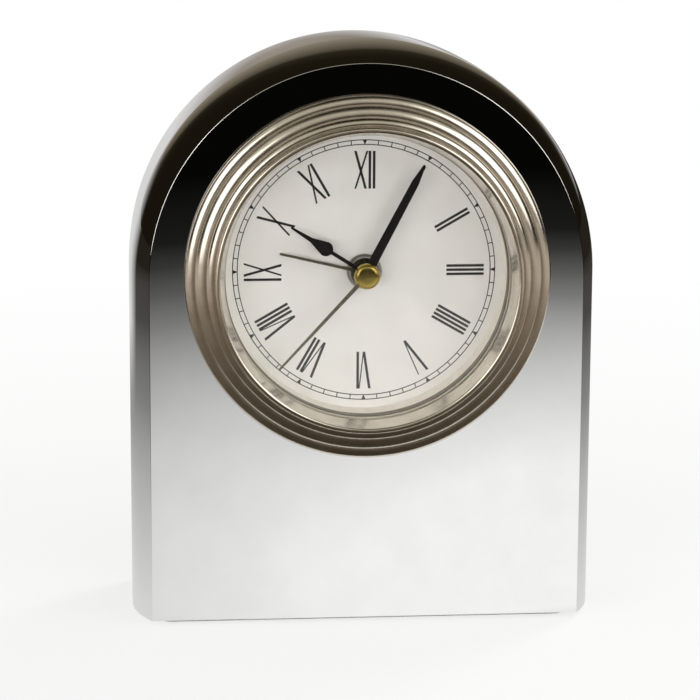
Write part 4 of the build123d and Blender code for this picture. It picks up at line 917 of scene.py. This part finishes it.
def make_world():
    """White to the camera, an even fill for the light, and a room with a bright back wall in mirrors."""
    world = bpy.data.worlds.new("studio")
    bpy.context.scene.world = world
    world.use_nodes = True
    tree = world.node_tree
    tree.nodes.clear()
    path = tree.nodes.new("ShaderNodeLightPath")
    place = tree.nodes.new("ShaderNodeTexCoord")
    parts = tree.nodes.new("ShaderNodeSeparateXYZ")
    tree.links.new(place.outputs["Generated"], parts.inputs["Vector"])
    squash = tree.nodes.new("ShaderNodeMapping")
    squash.inputs["Scale"].default_value = ROOM_SQUASH
    tree.links.new(place.outputs["Generated"], squash.inputs["Vector"])
    aside = tree.nodes.new("ShaderNodeVectorMath")
    aside.operation = "LENGTH"
    tree.links.new(squash.outputs["Vector"], aside.inputs[0])
    behind = ranged(tree, parts.outputs["Y"], 0.0, 1.0, BEHIND_SPAN)
    lighter = tree.nodes.new("ShaderNodeVectorMath")
    lighter.operation = "MAXIMUM"
    tree.links.new(ramp_of(tree, aside.outputs["Value"], BACK_ROOM), lighter.inputs[0])
    edge = tree.nodes.new("ShaderNodeVectorMath")
    edge.operation = "SCALE"
    tree.links.new(ramp_of(tree, parts.outputs["Z"], HORIZON), edge.inputs["Vector"])
    tree.links.new(ranged(tree, parts.outputs["Y"], 0.0, 1.0, HORIZON_SPAN), edge.inputs["Scale"])
    tree.links.new(edge.outputs["Vector"], lighter.inputs[1])
    room = mix(
        tree, behind,
        glow(tree, WORLD, ramp_of(tree, parts.outputs["Z"], FRONT_ROOM)),
        glow(tree, WORLD, lighter.outputs["Vector"]))
    white = glow(tree, WORLD, WHITE)
    fill = glow(tree, WORLD, FILL_TINT, FILL)
    seen = mix(tree, path.outputs["Is Camera Ray"], fill, white)
    output = tree.nodes.new("ShaderNodeOutputWorld")
    tree.links.new(mix(tree, path.outputs["Is Glossy Ray"], seen, room), output.inputs["Surface"])


LAMP_TINT = (1.0, 0.985, 0.965)
# Name, direction from the dial, distance, size, watts, and whether mirrors see the lamp
LAMPS = (
    ("softbox_left", (-0.7, -0.6, 0.29), 1.2, (0.9, 0.87), 4.6, True),
    ("softbox_right", (0.69, -0.58, 0.43), 1.2, (0.95, 0.84), 4.7, True),
    ("front_fill", (-0.05, -0.99, 0.04), 1.3, (1.8, 0.3), 17.5, False),
    ("back_key", (0.5, 0.5, 0.75), 1.3, (0.35, 0.35), 4.0, False),
)


def add_softbox(name, direction, distance, size, watts, mirrored):
    """Rectangular lamp that faces the dial from a direction."""
    lamp = bpy.data.lights.new(name, "AREA")
    lamp.shape = "RECTANGLE"
    lamp.size, lamp.size_y = size
    lamp.energy = watts
    lamp.color = LAMP_TINT
    holder = bpy.data.objects.new(name, lamp)
    aim = Vector((0.0, FACE_Y, DIAL_Z))
    holder.location = aim + Vector(direction).normalized() * distance
    holder.rotation_euler = (aim - holder.location).to_track_quat("-Z", "Y").to_euler()
    holder.visible_camera = False
    holder.visible_glossy = mirrored
    holder.visible_transmission = mirrored
    bpy.context.scene.collection.objects.link(holder)


def camera_axes():
    """The camera's place, and its right, up and backward directions."""
    yaw, pitch, roll = (math.radians(angle) for angle in (CAMERA_YAW, CAMERA_PITCH, CAMERA_ROLL))
    flat = math.cos(pitch)
    back = Vector((-math.sin(yaw) * flat, -math.cos(yaw) * flat, math.sin(pitch)))
    level = Vector((0, 0, 1)).cross(back).normalized()
    right = level * math.cos(roll) + back.cross(level) * math.sin(roll)
    return CAMERA_AIM + back * CAMERA_DISTANCE, right, back.cross(right), back


def add_sheet(name, height, shader):
    """Flat square of the studio, at a height over the resting plane."""
    half = FLOOR_HALF_SIZE
    corners = [(x, y, height) for x, y in ((-half, -half), (half, -half), (half, half), (-half, half))]
    mesh = bpy.data.meshes.new(name)
    mesh.from_pydata(corners, [], [(0, 1, 2, 3)])
    mesh.materials.append(stage_material(name, shader))
    sheet = bpy.data.objects.new(name, mesh)
    bpy.context.scene.collection.objects.link(sheet)
    return sheet


def link_glow(sheet, piece, state):
    """Shows a sheet's glow in one piece's reflections alone, or leaves it out of them."""
    group = bpy.data.collections.new(sheet.name + "_glow")
    group.objects.link(piece)
    group.collection_objects[0].light_linking.link_state = state
    sheet.light_linking.receiver_collection = group


def mirrored_shade_shader(tree):
    """Clear but for a brown glow of painted shade, darkest before the clock, where the floor's shade would
    fall.
    """
    clear = tree.nodes.new("ShaderNodeBsdfTransparent")
    both = tree.nodes.new("ShaderNodeAddShader")
    tree.links.new(clear.outputs["BSDF"], both.inputs[0])
    tree.links.new(lit_part(tree, FOOT, MIRRORED_SHADE_TONES, MIRRORED_SHADE_SHAPE), both.inputs[1])
    return both.outputs["Shader"]


def make_studio(bezel):
    """Floor, a brown glow of painted shade over it that only the bezel mirrors, the room and the lamps."""
    floor = add_sheet("floor", 0.0, floor_shader)
    link_glow(floor, bezel, "EXCLUDE")
    brown = add_sheet("mirrored_shade_floor", MIRRORED_SHADE_LIFT, mirrored_shade_shader)
    link_glow(brown, bezel, "INCLUDE")
    brown.visible_camera = False
    brown.visible_diffuse = False
    brown.visible_transmission = False
    brown.visible_shadow = False
    make_world()
    for lamp in LAMPS:
        add_softbox(*lamp)


def make_camera():
    eye, right, up, back = camera_axes()
    camera = bpy.data.objects.new("camera", bpy.data.cameras.new("camera"))
    camera.data.lens = CAMERA_LENS
    camera.data.sensor_width = CAMERA_SENSOR
    camera.matrix_world = Matrix.Translation(eye) @ Matrix((right, up, back)).transposed().to_4x4()
    camera.data.clip_start = CAMERA_NEAR
    bpy.context.scene.collection.objects.link(camera)
    bpy.context.scene.camera = camera


dress_nodes()
make_case()
bezel = make_bezel()
make_lens()
make_painted_shade_ring()
make_cap()
make_hour_hand()
make_felt()
make_dial_print()
make_studio(bezel)
make_camera()
bpy.context.scene.view_settings.view_transform = "Standard"
